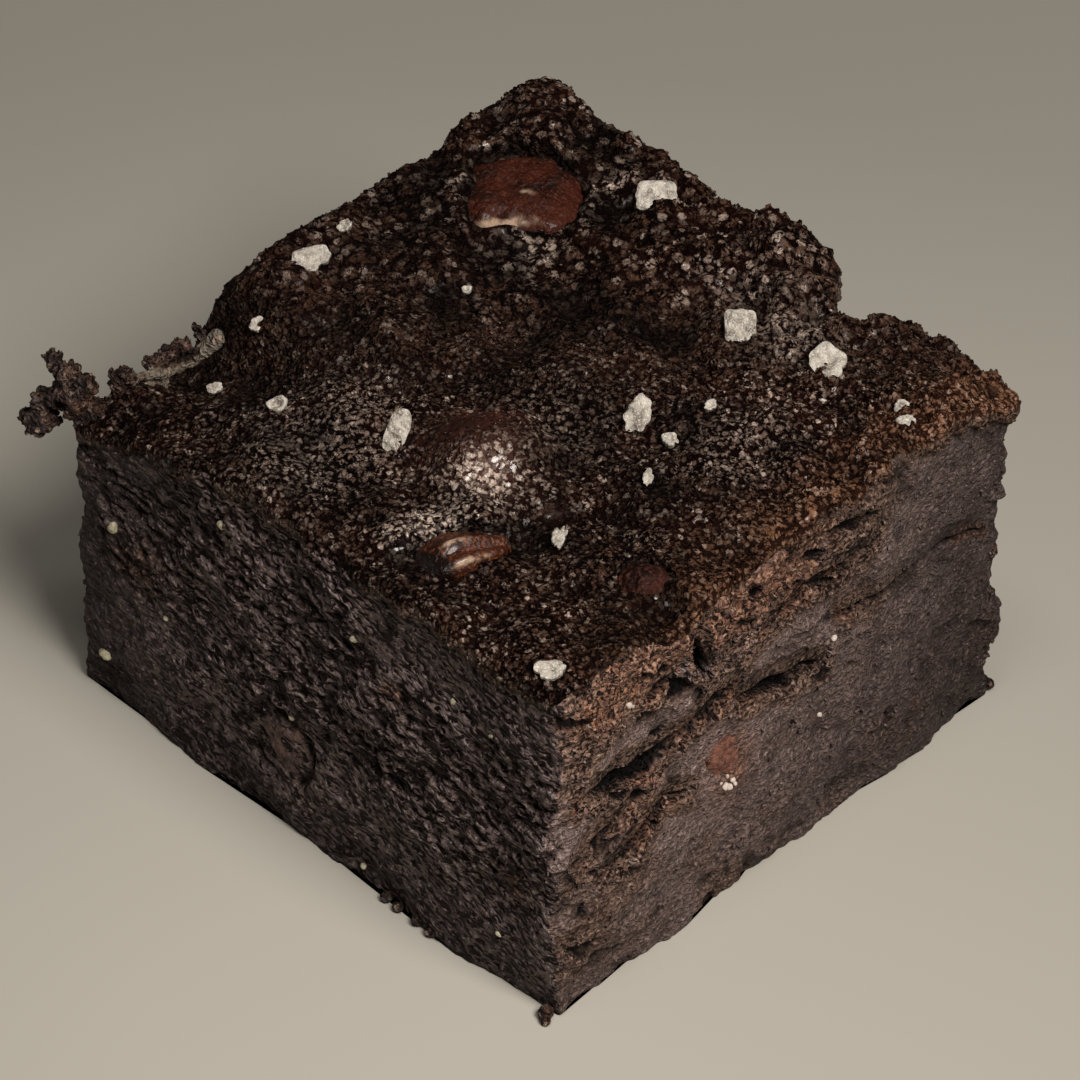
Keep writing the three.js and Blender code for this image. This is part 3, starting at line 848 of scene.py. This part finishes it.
# -------------------------------------------------------------------------------------------------------
# The torn bits: crumb that hangs off the slumped front left corner, a pale curled flake of crust with dark
# lumps beside it, and crumbs that cling to the foot and the back right edge. The knife dragged them out of
# the block and left them hanging on, so they share its grain.
CORNER_CRUMB = [  # out from the left face, back from the front face, height, radius
    (-0.1, 1.8, 31.4, 1.8),
    (1.4, 1.0, 33.0, 1.6),
    (0.6, 1.8, 34.6, 1.1),
    (3.0, 1.5, 34.6, 1.3),
    (4.8, 1.8, 35.0, 1.0),
    (3.0, 0.4, 32.5, 1.2),
    (4.4, 0.0, 31.9, 1.2),
    (4.3, -0.6, 29.9, 1.5),
    (6.0, -1.0, 29.6, 0.8),
    (-0.7, 7.8, 32.1, 0.9),
    (-0.7, 9.4, 31.4, 0.9),
]
KNOB = (-29.0, -24.8, 34.4, 1.25)  # a lump that stands at the slumped corner's edge
LUMPS = [  # x, y, height, radius: dark lumps on the far side of the flake
    (-29.8, -20.4, 33.1, 0.8),
    (-29.8, -18.7, 33.3, 1.0),
    (-29.8, -17.0, 33.0, 1.0),
    (-29.6, -14.6, 33.9, 0.8),
    (-29.3, -13.3, 35.0, 0.7),
]
CURL_PATH = [  # x, y, height: the line that the curled flake follows
    (-28.7, -23.6, 34.0),
    (-28.7, -20.0, 32.5),
    (-29.0, -16.7, 31.9),
    (-28.1, -15.4, 33.3),
    (-27.3, -14.7, 34.5),
]
FOOT_CRUMBS = [  # x, y, height, radius: at the foot, and up the back right edge
    (10.6, -30.1, 0.5, 0.6),
    (12.2, -30.3, 0.4, 0.55),
    (14.6, -30.2, 0.6, 0.65),
    (16.4, -30.4, 0.5, 0.6),
    (17.5, -30.1, 0.9, 0.6),
    (30.4, -30.1, 0.6, 0.7),
    (30.9, -30.7, 0.4, 0.45),
    (30.3, 29.7, 0.9, 0.9),
    (31.0, 30.4, 0.7, 0.5),
    (29.5, 29.5, 12.0, 1.0),
    (29.3, 29.6, 17.5, 1.0),
]


def points_of(mesh):
    flat = np.empty(len(mesh.vertices) * 3, np.float32)
    mesh.vertices.foreach_get("co", flat)
    return flat.reshape(-1, 3) / MM - BOX_SHIFT


def normals_of(mesh):
    flat = np.empty(len(mesh.vertices) * 3, np.float32)
    mesh.vertex_normals.foreach_get("vector", flat)
    return flat.reshape(-1, 3)


def put_points(mesh, points):
    mesh.vertices.foreach_set("co", ((points + BOX_SHIFT) * MM).astype(np.float32).ravel())
    mesh.update()


def melt_together(name, balls, voxel):
    """One closed mesh around overlapping balls, each given as (x, y, z, radii along x, y and z)."""
    shape = bmesh.new()
    for x, y, z, *radii in balls:
        place = Matrix.Translation(Vector((x, y, z)) * MM + Vector(BOX_SHIFT * MM))
        place = place @ Matrix.Diagonal((*radii, 1))
        bmesh.ops.create_icosphere(shape, subdivisions=3, radius=MM, matrix=place)
    rough_mesh = bpy.data.meshes.new(name + " balls")
    shape.to_mesh(rough_mesh)
    shape.free()
    host = new_object(name + " balls", rough_mesh)
    remesh = host.modifiers.new("join", "REMESH")
    remesh.mode, remesh.voxel_size = "VOXEL", voxel * MM
    return settled_copy(host, name)


def settled_copy(host, name):
    """The plain mesh that a host object's modifiers make, as a piece of its own. The host is removed."""
    graph = bpy.context.evaluated_depsgraph_get()
    mesh = bpy.data.meshes.new_from_object(host.evaluated_get(graph))
    mesh.name = name
    piece = new_object(name, mesh)
    bpy.data.objects.remove(host)
    return piece


def make_torn_bits():
    """All the torn bits in one mesh: overlapping balls melted together and roughened."""
    balls = []
    for out, back, z, radius in CORNER_CRUMB:
        balls.append((-LENGTH / 2 - out, -WIDTH / 2 + back, z, radius, radius, radius))
    path = np.array(CURL_PATH)
    for t in np.linspace(0, 4, 34):
        k = min(int(t), 3)
        x, y, z = path[k] + (path[k + 1] - path[k]) * (t - k)
        balls.append((x, y, z, 0.5 + 0.12 * t, 0.6, 0.42 + 0.1 * t))
    for x, y, z, radius in (KNOB, *LUMPS, *FOOT_CRUMBS):
        balls.append((x, y, z, radius, radius, radius))
    piece = melt_together("torn_bits", balls, 0.2)
    mesh = piece.data
    points, way = points_of(mesh), normals_of(mesh)
    away, number = grains(points, 0.95, 91)
    height = 0.5 * (1 - smooth(away)) * (0.2 + number) + 0.45 * rough(points, 1.6, 3, 93) - 0.15
    height = height - 0.6 * smooth((cloud(points, 1.1, 95) - 0.35) / 0.3)
    steps = np.concatenate([np.linspace(a, b, 12) for a, b in zip(path[:-1], path[1:])])
    from_curl = np.sqrt(((points[:, None] - steps) ** 2).sum(-1)).min(1)
    flake = smooth((1.4 - from_curl) / 0.5)
    for x, y, z, radius in LUMPS:
        flake = flake * smooth(np.linalg.norm(points - np.array([x, y, z]), axis=1) / radius - 0.9)
    height = height * np.where(points[:, 2] < 1.6, 0.3, 1 - 0.6 * flake)
    points = points + way * height[:, None]
    points[:, 2] = np.maximum(points[:, 2], 0.02)
    put_points(mesh, points)
    # Painted shade: low places on the torn bits are painted near black, but not on the pale flake.
    set_mark(mesh, "hollow", np.clip(0.4 - height / 0.6, 0, 1) * (1 - flake))
    set_mark(mesh, "rust", 0.8 * smooth((rough(points, 3, 2, 97) + 0.1) / 0.4))
    set_mark(mesh, "pale", 0.85 * flake * smooth((rough(points, 1.2, 2, 99) + 0.7) / 0.5))
    set_mark(mesh, "crumbly", np.ones(len(points)))
    set_mark(mesh, "grainy", (1 - flake) * smooth((points[:, 2] - 1.5) / 1.0))
    mesh.shade_smooth()
    return piece


torn_bits = make_torn_bits()
torn_bits.data.materials.append(crumb_material)
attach(torn_bits, "root")
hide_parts("brownie")

# -------------------------------------------------------------------------------------------------------
# The loose grain: sugar-glazed granules that stand out of the crust and catch the light, and duller crumbs
# that the knife left standing on the cut faces. Each is a small bent ball, scattered over the piece that
# carries it as thickly as that piece's own mark says.
def make_scatter_tree():
    """Scatters small bent balls over a carrier, as thickly as its grainy mark says."""
    tree = bpy.data.node_groups.new("scatter grains", "GeometryNodeTree")
    sockets = [("Carrier", "Geometry"), ("Density", "Float"), ("Seed", "Int"), ("Smallest", "Float")]
    sockets += [("Largest", "Float"), ("Finish", "Material")]
    for title, kind in sockets:
        tree.interface.new_socket(title, in_out="INPUT", socket_type="NodeSocket" + kind)
    tree.interface.new_socket("Grains", in_out="OUTPUT", socket_type="NodeSocketGeometry")
    given = tree.nodes.new("NodeGroupInput").outputs
    grainy = add(tree, "GeometryNodeInputNamedAttribute", {"Name": "grainy"}, data_type="FLOAT").outputs[0]
    density = times(tree, given["Density"], grainy)
    spots = add(
        tree,
        "GeometryNodeDistributePointsOnFaces",
        {"Mesh": given["Carrier"], "Density": density, "Seed": given["Seed"]},
    ).outputs
    ball = add(tree, "GeometryNodeMeshIcoSphere", {"Radius": 1.0, "Subdivisions": 1}).outputs["Mesh"]
    from_0_to_1 = {2: 0.0, 3: 1.0, "Seed": given["Seed"]}
    chance = add(tree, "FunctionNodeRandomValue", from_0_to_1, data_type="FLOAT").outputs[1]
    heavy = maths(tree, "POWER", chance, 3.0)
    size = add(tree, "ShaderNodeMapRange", {0: heavy, 3: given["Smallest"], 4: given["Largest"]}).outputs[0]
    shape = add(
        tree,
        "FunctionNodeRandomValue",
        {0: (0.6, 0.6, 0.5), 1: (1.5, 1.2, 1.0), "Seed": 5},
        data_type="FLOAT_VECTOR",
    ).outputs[0]
    scale = scaled(tree, shape, size)
    turn = add(
        tree,
        "FunctionNodeRandomValue",
        {0: (0, 0, 0), 1: (6.283, 6.283, 6.283), "Seed": 9},
        data_type="FLOAT_VECTOR",
    ).outputs[0]
    placed = add(
        tree,
        "GeometryNodeInstanceOnPoints",
        {"Points": spots["Points"], "Instance": ball, "Rotation": turn, "Scale": scale},
    ).outputs[0]
    real = add(tree, "GeometryNodeRealizeInstances", {0: placed}).outputs[0]
    where = add(tree, "GeometryNodeInputPosition").outputs[0]
    bumps = soft_noise(tree, where, 2600.0, 1.0)[1]
    centred = vectors(tree, "SUBTRACT", bumps, (0.5, 0.5, 0.5))[0]
    push = scaled(tree, centred, 0.0004)
    bent = add(tree, "GeometryNodeSetPosition", {"Geometry": real, "Offset": push}).outputs[0]
    rounded = add(tree, "GeometryNodeSetShadeSmooth", {"Geometry": bent}).outputs[0]
    finish = {"Geometry": rounded, "Material": given["Finish"]}
    done = add(tree, "GeometryNodeSetMaterial", finish).outputs[0]
    result = tree.nodes.new("NodeGroupOutput")
    tree.links.new(done, result.inputs["Grains"])
    return tree


def scatter(name, carrier, values):
    """One piece of loose grain. The carrier itself stays as it is."""
    host = new_object(name + " carrier", carrier.data.copy())
    step = host.modifiers.new("scatter", "NODES")
    step.node_group = scatter_tree
    for socket in scatter_tree.interface.items_tree:
        if socket.in_out == "INPUT" and socket.name in values:
            step[socket.identifier] = values[socket.name]
    piece = settled_copy(host, name)
    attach(piece, "root")
    return piece


scatter_tree = make_scatter_tree()
GRAIN_SIZES = {"Smallest": 0.0001, "Largest": 0.00038}  # radii in metres
GRAINS = [  # piece, what carries it, grains to a square metre, seed, finish
    ("crust_granules", crust, 2.6e6, 4, crust_material),
    ("front_crumbs", front_crumb, 1.0e6, 8, crumb_material),
    ("right_crumbs", right_crumb, 1.9e6, 9, crumb_material),
    ("torn_crumbs", torn_bits, 2.4e6, 11, crumb_material),
    ("back_crumbs", core_crumb, 1.0e6, 10, crumb_material),
]
for name, carrier, density, seed, finish in GRAINS:
    scatter(name, carrier, {"Density": density, "Seed": seed, "Finish": finish, **GRAIN_SIZES})

# -------------------------------------------------------------------------------------------------------
# The chocolate: two chips and a chunk that softened in the crust, and two that the knife cut through. Each
# is set chocolate, stuck in the crumb, glossy where it melted and dull where the sugar bloomed.
def lump_points(sphere, radii, taper, square):
    """An egg-shaped lump, narrower towards -X, with flatter sides as square rises."""
    reach = (np.abs(sphere) ** square).sum(-1, keepdims=True) ** (-1 / square)
    x, y, z = (sphere * reach).T
    narrow = 1 - taper * smooth((0.3 - x) / 1.2)
    return np.stack([radii[0] * x, radii[1] * y * narrow, radii[2] * z * narrow], -1)


def make_chip(name, place, size, turn, taper, square, relief, glint_patches=(), shaded_end=0.0):
    """A chip of three sizes in millimetres, turned this many degrees and shaped by relief(points, unit).

    Glint patches are painted highlights: their middle, and reach along and across the chip. The shaded
    end, from 0 to 1, paints shade over its wide end."""
    shape = bmesh.new()
    bmesh.ops.create_icosphere(shape, subdivisions=6, radius=1)
    mesh = bpy.data.meshes.new(name)
    shape.to_mesh(mesh)
    shape.free()
    flat = np.empty(len(mesh.vertices) * 3, np.float32)
    mesh.vertices.foreach_get("co", flat)
    unit = flat.reshape(-1, 3).astype(float)
    points = lump_points(unit, np.array(size) / 2, taper, square)
    points = points @ np.array(Matrix.Rotation(math.radians(turn), 3, "Z")).T + np.array(place)
    put_points(mesh, points)
    put_points(mesh, points + normals_of(mesh) * relief(points, unit)[:, None])
    # Painted highlights: pale patches on the chip's top, broken up by noise.
    painted_glint = np.zeros(len(points))
    for u, v, long, wide in glint_patches:
        painted_glint = np.maximum(painted_glint, hill((unit[:, 0] - u) / long, (unit[:, 1] - v) / wide) * (unit[:, 2] > 0))
    set_mark(mesh, "painted_glint", smooth(1.3 * painted_glint * (1 + 1.6 * rough(points, 0.7, 3, 117)) - 0.1))
    # Painted shade: the wide end is painted near black, as strongly as asked.
    end = smooth((unit[:, 0] + 0.25 * unit[:, 1] - 0.42) / 0.25 + 0.5 * rough(points, 1.2, 2, 119))
    set_mark(mesh, "shaded_end", shaded_end * end)
    mesh.shade_smooth()
    return new_object(name, mesh)


def make_chocolate_material(name, shades, matt, coat, gloss, lumps=2.4):
    """Shades are dark, middle and light. Matt is the roughness, and lumps the size of the mottling."""
    fixed = {"Specular_IOR_Level": gloss, "Coat_Weight": coat, "Coat_Roughness": 0.14}
    material, tree, shader = new_material(name, **fixed)
    place = place_mm(tree)
    color = mottled(tree, place, lumps, *shades)
    # Painted shade over a chip's wide end.
    color = blend(tree, mark(tree, "shaded_end"), color, rgb(0.006, 0.002, 0.001))
    # Painted highlight: pale patches where the chip would catch the light.
    color = blend(tree, times(tree, mark(tree, "painted_glint"), 0.7), color, rgb(0.50, 0.34, 0.23))
    streak = soft_noise(tree, place, 0.9, 4.0)[0]
    ripple = soft_noise(tree, place, 2.4, 3.0)[0]
    bump = add(tree, "ShaderNodeBump", {"Height": ripple, "Distance": 0.0004, "Strength": 0.8})
    dryness = spread(tree, streak, 0.35, 0.65, matt, matt + 0.25)
    finish_with(tree, shader, Base_Color=color, Roughness=dryness, Normal=bump.outputs[0])
    return material


def wrinkled(points, unit):
    """Soft wrinkles, as on a chip that melted and set."""
    return 0.28 * rough(points, 2.2, 3, 101) + 0.1 * rough(points, 0.8, 2, 103)


def folded(points, unit):
    """A ridge along the middle, a groove and a raised rim along one side, and a dip at the wide end."""
    u, v, up = unit.T
    ridge = 0.4 * hill((v + 0.08) / 0.22, (u + 0.1) / 0.7)
    groove = -0.38 * hill((v - 0.36) / 0.15, (u + 0.1) / 0.75)
    rim = 0.3 * hill((v - 0.68) / 0.16, u / 0.85)
    dip = -0.7 * hill((u - 0.75) / 0.3, (v + 0.1) / 0.6)
    return (ridge + groove + rim + dip) * smooth(up * 2) + 0.9 * wrinkled(points, unit)


def broken(points, unit):
    """A coarse broken face."""
    return 0.6 * rough(points, 2.6, 3, 105) + 0.22 * rough(points, 0.7, 2, 107)


def top_chip(name, node, x, y, size, turn, proud, taper, square, relief, material, glint_patches=(), shaded_end=0.0):
    """A chip that lies in the crust and stands this far proud of it."""
    z = float(top_height(x, y)) + proud - size[2] / 2
    piece = make_chip(name, (x, y, z), size, turn, taper, square, relief, glint_patches, shaded_end)
    finish_chip(piece, node, material)


def on_face(face, along, z, stand):
    """A place on the front or right face, this far out of it."""
    stand = float(wall(face, along, z)) + stand
    if face == "right":
        return (LENGTH / 2 + stand + FLARE * (1 - z / HEIGHT), along, z)
    return (along, -WIDTH / 2 - stand, z)


def cut_chip(name, node, face, along, z, size, material):
    """A chip sliced flush with a cut face: a flat lump, most of it under the surface."""
    place = on_face(face, along, z, -0.85)
    if face == "right":
        piece = make_chip(name, place, (2.0, size[0], size[1]), 0, 0.0, 2.2, broken)
    else:
        piece = make_chip(name, place, (size[0], 2.0, size[1]), 0, 0.0, 2.6, broken)
    finish_chip(piece, node, material)


def finish_chip(piece, node, material):
    piece.data.materials.append(material)
    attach(piece, "root")
    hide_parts(node)


DARKEST = (0.008, 0.002, 0.001)
melted_shades = DARKEST, (0.055, 0.013, 0.005), (0.20, 0.062, 0.020)
melted = make_chocolate_material("melted chocolate", melted_shades, matt=0.3, coat=0.28, gloss=0.3)
sunken_shades = DARKEST, (0.042, 0.008, 0.003), (0.085, 0.026, 0.013)
sunken = make_chocolate_material("sunken chocolate", sunken_shades, matt=0.45, coat=0.1, gloss=0.15)
dull_shades = DARKEST, (0.034, 0.009, 0.005), (0.065, 0.023, 0.015)
dull = make_chocolate_material("dull chocolate", dull_shades, matt=0.5, coat=0.0, gloss=0.12)
cut_shades = (0.040, 0.014, 0.009), (0.165, 0.062, 0.040), (0.30, 0.155, 0.11)
sliced = make_chocolate_material("sliced chocolate", cut_shades, matt=0.55, coat=0.0, gloss=0.2, lumps=0.7)
dark_shades = (0.010, 0.004, 0.004), (0.125, 0.072, 0.060), (0.24, 0.16, 0.135)
dark_slice = make_chocolate_material("dark slice", dark_shades, matt=0.55, coat=0.0, gloss=0.2, lumps=0.9)
# Painted highlights on the chips: middle, and reach along and across.
FOLD_GLINTS = [(0.12, 0.0, 0.24, 0.09), (0.0, 0.74, 0.36, 0.07)]
CHUNK_GLINTS = [(-0.3, -0.76, 0.4, 0.09), (0.1, -0.25, 0.09, 0.08), (-0.7, 0.25, 0.08, 0.12)]
top_chip(
    "front_chip",
    "chip_front",
    x=11.1,
    y=-21.8,
    size=(8.8, 5.2, 3.8),
    turn=248,
    proud=0.8,
    taper=0.35,
    square=2.6,
    relief=folded,
    material=melted,
    glint_patches=FOLD_GLINTS,
    shaded_end=1.0,
)
top_chip(
    "back_chunk",
    "chunk_back",
    x=-19.8,
    y=16.9,
    size=(12.2, 11.8, 5),
    turn=48,
    proud=0.2,
    taper=0.1,
    square=2.8,
    relief=broken,
    material=sunken,
    glint_patches=CHUNK_GLINTS,
)
top_chip(
    "crust_chip",
    "chip_crust",
    x=24.4,
    y=-13.2,
    size=(6, 4.4, 3.4),
    turn=45,
    proud=0.2,
    taper=0.2,
    square=2.0,
    relief=broken,
    material=dull,
)
cut_chip("right_cut_chip", "chip_cut_right", "right", -8.4, 16.4, (5.0, 6.0), sliced)
cut_chip("front_cut_chip", "chip_cut_front", "front", -3.0, 10.0, (5.4, 6.4), dark_slice)

# -------------------------------------------------------------------------------------------------------
# The sea salt: coarse flakes strewn on the hot crust, and a few fine grains beside them. Each is a cloudy
# crystal, hollow in its middle and ragged at its rim, and pressed lightly into the crust.
SALT = [  # x, y, width, height, thickness, turn, lean, squareness, raggedness, notch (way, depth), hollow
    (8.5, 16.4, 2.8, 3.1, 1.0, 0, 34, 7.0, 0.05, 250, 0.25, 0.35),
    (9.7, 1.5, 2.3, 3.4, 1.0, -24, 30, 3.0, 0.22, 300, 0.3, 0.25),
    (17.4, 18.2, 3.3, 3.1, 0.9, -45, 26, 3.4, 0.12, 20, 0.35, 0.6),
    (-3.3, -15.5, 2.0, 4.2, 1.2, -20, 34, 3.2, 0.07, 90, 0.0, 0.1),
    (-9.4, 24.6, 3.9, 2.9, 1.2, 0, 36, 5.0, 0.08, 275, 1.0, 0.1),
    (-24.9, -5.1, 3.5, 2.5, 0.8, 15, 30, 2.2, 0.2, 300, 0.5, 0.4),
    (27.5, 17.1, 1.7, 1.4, 0.9, 30, 20, 3.0, 0.2, 90, 0.3, 0.2),
    (25.6, 18.9, 1.4, 1.3, 0.8, 70, 20, 3.0, 0.2, 0, 0.0, 0.2),
    (-14.0, -19.8, 1.8, 1.5, 0.7, 40, 20, 2.4, 0.15, 200, 0.3, 0.6),
    (-23.9, -13.0, 1.6, 1.2, 0.7, 60, 20, 3.0, 0.2, 0, 0.0, 0.2),
    (27.5, -28.1, 2.5, 1.7, 0.6, 5, 16, 2.4, 0.3, 200, 0.4, 0.3),
    (16.1, -15.2, 1.2, 2.1, 0.6, -25, 20, 2.4, 0.35, 120, 0.7, 0.2),
    (13.9, 1.3, 1.3, 1.3, 0.6, 15, 20, 3.0, 0.25, 0, 0.3, 0.3),
    (16.4, -4.3, 0.9, 1.6, 0.5, -10, 20, 2.4, 0.3, 40, 0.4, 0.2),
    (13.9, 6.5, 1.3, 0.9, 0.5, 45, 20, 2.4, 0.3, 0, 0.0, 0.2),
    (-23.1, -19.0, 1.3, 1.0, 0.6, 30, 20, 3.0, 0.2, 0, 0.0, 0.2),
    (-13.2, 3.2, 0.9, 0.8, 0.5, 0, 20, 2.4, 0.2, 0, 0.0, 0.1),
    (-26.3, 0.4, 1.3, 1.1, 0.6, 55, 20, 2.4, 0.25, 0, 0.0, 0.1),
]
SALT_RINGS, SALT_SPOKES = 9, 44


def salt_crystal(width, tall, thick, turn, lean, square, ragged, notch_way, notch, hollow, number):
    """Points of one crystal in rings: its upper face from the middle out, then its lower face inwards."""
    angle = np.linspace(0, 2 * np.pi, SALT_SPOKES, endpoint=False)
    circle = np.stack([np.cos(angle), np.sin(angle), np.full_like(angle, 3.7 * number)], -1)
    reach = (np.abs(circle[:, 0]) ** square + np.abs(circle[:, 1]) ** square) ** (-1 / square)
    reach = reach * (1 + ragged * (cloud(circle * 1.3, 1.0, 107) + 0.7 * cloud(circle * 3.1, 1.0, 109)))
    off = (np.degrees(angle) - notch_way + 180) % 360 - 180
    reach = reach * (1 - 0.5 * notch * hill(off / 16, 0))
    outline = np.stack([reach * circle[:, 0] * width / 2, reach * circle[:, 1] * tall / 2], -1)
    rings = []
    for side in (1, -1):
        steps = np.linspace(0.06, 1, SALT_RINGS)
        for share in steps if side > 0 else steps[::-1]:
            flat = np.column_stack([outline * share, np.full(SALT_SPOKES, 5.0 * number)])
            worn = 0.2 * cloud(flat, 0.7, 111) + 0.13 * cloud(flat, 0.32, 113)
            if tall > 1.6 * width:
                ribs = np.sin(outline[:, 1] * share * 2.6 + outline[:, 0] * share * 1.2)
                worn = worn - 0.22 * np.abs(ribs) ** 6
            rise = thick / 2 * (1 - 0.35 * share**6) - (hollow * hill(share / 0.5, 0) if side > 0 else 0)
            if share > 0.97:
                rise, worn = 0.3 * thick, worn * 0.5
            rings.append(np.column_stack([outline * share, side * (rise + worn * np.sqrt(thick))]))
    points = np.concatenate(rings)
    lie = Matrix.Rotation(math.radians(45), 3, "Z") @ Matrix.Rotation(math.radians(lean), 3, "X")
    return points @ np.array(lie @ Matrix.Rotation(math.radians(turn), 3, "Z")).T


def make_salt():
    points, quads, fans = [], [], []
    count = 0
    for number, (x, y, width, tall, thick, turn, lean, *form) in enumerate(SALT):
        crystal = salt_crystal(width, tall, thick, turn, lean, *form, number)
        ground = float(top_height(x, y)) + 0.3 + 0.42 * tall * math.sin(math.radians(lean)) / 2
        loops = [np.arange(SALT_SPOKES) + count + SALT_SPOKES * k for k in range(2 * SALT_RINGS)]
        points.append(crystal + np.array([x, y, ground + thick * 0.25]))
        quads.append(loops_to_quads(loops[::-1]))
        middles = crystal[:SALT_SPOKES].mean(0), crystal[-SALT_SPOKES:].mean(0)
        points.append(np.array(middles) + np.array([x, y, ground + thick * 0.25]))
        count += len(crystal)
        fans += [(loops[0], count), (loops[-1][::-1], count + 1)]
        count += 2
    piece = make_piece("salt", np.concatenate(points), np.concatenate(quads), fans)
    piece.data.shade_flat()
    return piece


def make_salt_material():
    material, tree, shader = new_material("sea salt", Specular_IOR_Level=0.4, Subsurface_Weight=0.3)
    shader.inputs["Subsurface Radius"].default_value = (0.0005, 0.0005, 0.0004)
    place = place_mm(tree)
    color = mottled(tree, place, 1.1, (0.16, 0.13, 0.10), (0.46, 0.41, 0.345), (0.68, 0.62, 0.53))
    cloudy = soft_noise(tree, place, 1.5, 3.0)[0]
    bump = add(tree, "ShaderNodeBump", {"Height": cloudy, "Distance": 0.0004, "Strength": 0.7})
    dryness = spread(tree, cloudy, 0.3, 0.7, 0.3, 0.65)
    finish_with(tree, shader, Base_Color=color, Roughness=dryness, Normal=bump.outputs[0])
    return material


salt = make_salt()
salt.data.materials.append(make_salt_material())
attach(salt, "root")

# -------------------------------------------------------------------------------------------------------
# The pale specks: crumbs of nut and undissolved sugar that the knife bared in the cut faces, yellowish on
# the front face and whitish on the right one. They are stuck in the crumb.
SPECKS = [  # face, along, height, width
    ("front", -25.1, 22.4, 1.1),
    ("front", -10.2, 31.8, 0.75),
    ("front", -27.2, 5.2, 1.2),
    ("front", -18.7, 15.0, 0.55),
    ("front", 6.4, 29.1, 0.65),
    ("front", 23.0, 29.0, 0.5),
    ("front", 17.9, 29.3, 0.45),
    ("front", 24.5, 5.9, 0.65),
    ("front", 7.0, 1.4, 0.5),
    ("front", -1.5, 14.7, 0.6),
    ("right", -21.0, 31.5, 0.8),
    ("right", -20.4, 30.8, 0.5),
    ("right", -9.1, 14.6, 0.45),
    ("right", -8.6, 14.0, 0.65),
    ("right", -8.1, 13.6, 0.6),
    ("right", -7.7, 14.3, 0.5),
    ("right", -7.3, 13.5, 0.45),
    ("right", -8.3, 14.9, 0.4),
    ("right", 5.6, 22.4, 0.6),
    ("right", 5.1, 13.0, 0.45),
]


def make_specks():
    shape = bmesh.new()
    for face, along, z, width in SPECKS:
        place = on_face(face, along, z, 0.16)
        where = Matrix.Translation(Vector(np.array(place) * MM + BOX_SHIFT * MM))
        bmesh.ops.create_icosphere(shape, subdivisions=3, radius=width * 0.5 * MM, matrix=where)
    mesh = bpy.data.meshes.new("pale_specks")
    shape.to_mesh(mesh)
    shape.free()
    points = points_of(mesh)
    put_points(mesh, points + normals_of(mesh) * (0.26 * rough(points, 0.55, 2, 131))[:, None])
    mesh.shade_smooth()
    return new_object("pale_specks", mesh)


def make_speck_material():
    material, tree, shader = new_material("pale speck", Roughness=0.55)
    place = place_mm(tree)
    color = mottled(tree, place, 0.6, (0.22, 0.18, 0.10), (0.42, 0.37, 0.24), (0.62, 0.57, 0.44))
    on_right = spread(tree, axes(tree, place)[0], 26, 29, 0.0, 0.8)
    finish_with(tree, shader, Base_Color=blend(tree, on_right, color, rgb(0.58, 0.47, 0.42)))
    return material


specks = make_specks()
specks.data.materials.append(make_speck_material())
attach(specks, "root")

# -------------------------------------------------------------------------------------------------------
# The studio: a pale table, painted lighter in a pool in front of the block, one large soft light from the
# right, a weaker one nearly overhead, and a faint even light from all round. The camera looks down at the
# corner between the front and right faces.
def make_floor():
    bpy.ops.mesh.primitive_plane_add(size=3.0, location=(0, 0, -0.00005))
    floor = bpy.context.object
    floor.name = "floor"
    material, tree, shader = new_material("pale table", Specular_IOR_Level=0.2, Roughness=0.7)
    where = add(tree, "ShaderNodeTexCoord").outputs["Object"]
    tone = soft_noise(tree, where, 4.0, 2.0)[0]
    color = blend(tree, tone, rgb(0.40, 0.370, 0.310), rgb(0.44, 0.405, 0.345))
    # Painted light: the table is painted brightest just in front of the block and darker further away.
    off = vectors(tree, "DISTANCE", where, (0.02, -0.045, 0))[1]
    painted_light_pool = spread(tree, off, 0.015, 0.15, 1.0, 0.72)
    finish_with(tree, shader, Base_Color=scaled(tree, color, painted_light_pool))
    floor.data.materials.append(material)


def add_light(name, azimuth, elevation, distance, size, watts, color):
    light = bpy.data.lights.new(name, "AREA")
    light.shape = "DISK"
    light.size = size
    light.energy = watts
    light.color = color
    lamp = new_object(name, light)
    a, e = math.radians(azimuth), math.radians(elevation)
    back = Vector((math.sin(a) * math.cos(e), -math.cos(a) * math.cos(e), math.sin(e)))
    lamp.location = back * distance + Vector((0, 0, 0.02))
    lamp.rotation_euler = back.to_track_quat("Z", "Y").to_euler()


def add_camera():
    azimuth, elevation, roll, distance = 42.57, 41.10, 2.11, 0.3932
    target = Vector((-0.00003, 0.00292, 0.015))
    turn = Matrix.Rotation(math.radians(azimuth), 3, "Z")
    turn = turn @ Matrix.Rotation(math.radians(90 - elevation), 3, "X")
    turn = turn @ Matrix.Rotation(math.radians(roll), 3, "Z")
    lens = bpy.data.cameras.new("camera")
    lens.lens, lens.sensor_width = 140, 36
    lens.clip_start, lens.clip_end = 0.01, 20
    camera = new_object("camera", lens)
    camera.location = target + turn @ Vector((0, 0, distance))
    camera.rotation_euler = turn.to_euler()
    bpy.context.scene.camera = camera


def set_world():
    world = bpy.data.worlds.new("room")
    bpy.context.scene.world = world
    world.use_nodes = True
    glow = world.node_tree.nodes["Background"].inputs
    glow["Color"].default_value = rgb(0.80, 0.82, 0.80)
    glow["Strength"].default_value = 0.06


make_floor()
warm_white, soft_white = (1.0, 0.97, 0.94), (1.0, 0.98, 0.96)
add_light("window", azimuth=79, elevation=52, distance=0.5, size=0.22, watts=3.0, color=warm_white)
add_light("overhead", azimuth=20, elevation=76, distance=0.6, size=0.17, watts=0.65, color=soft_white)
set_world()
add_camera()
bpy.context.scene.view_settings.view_transform = "Standard"
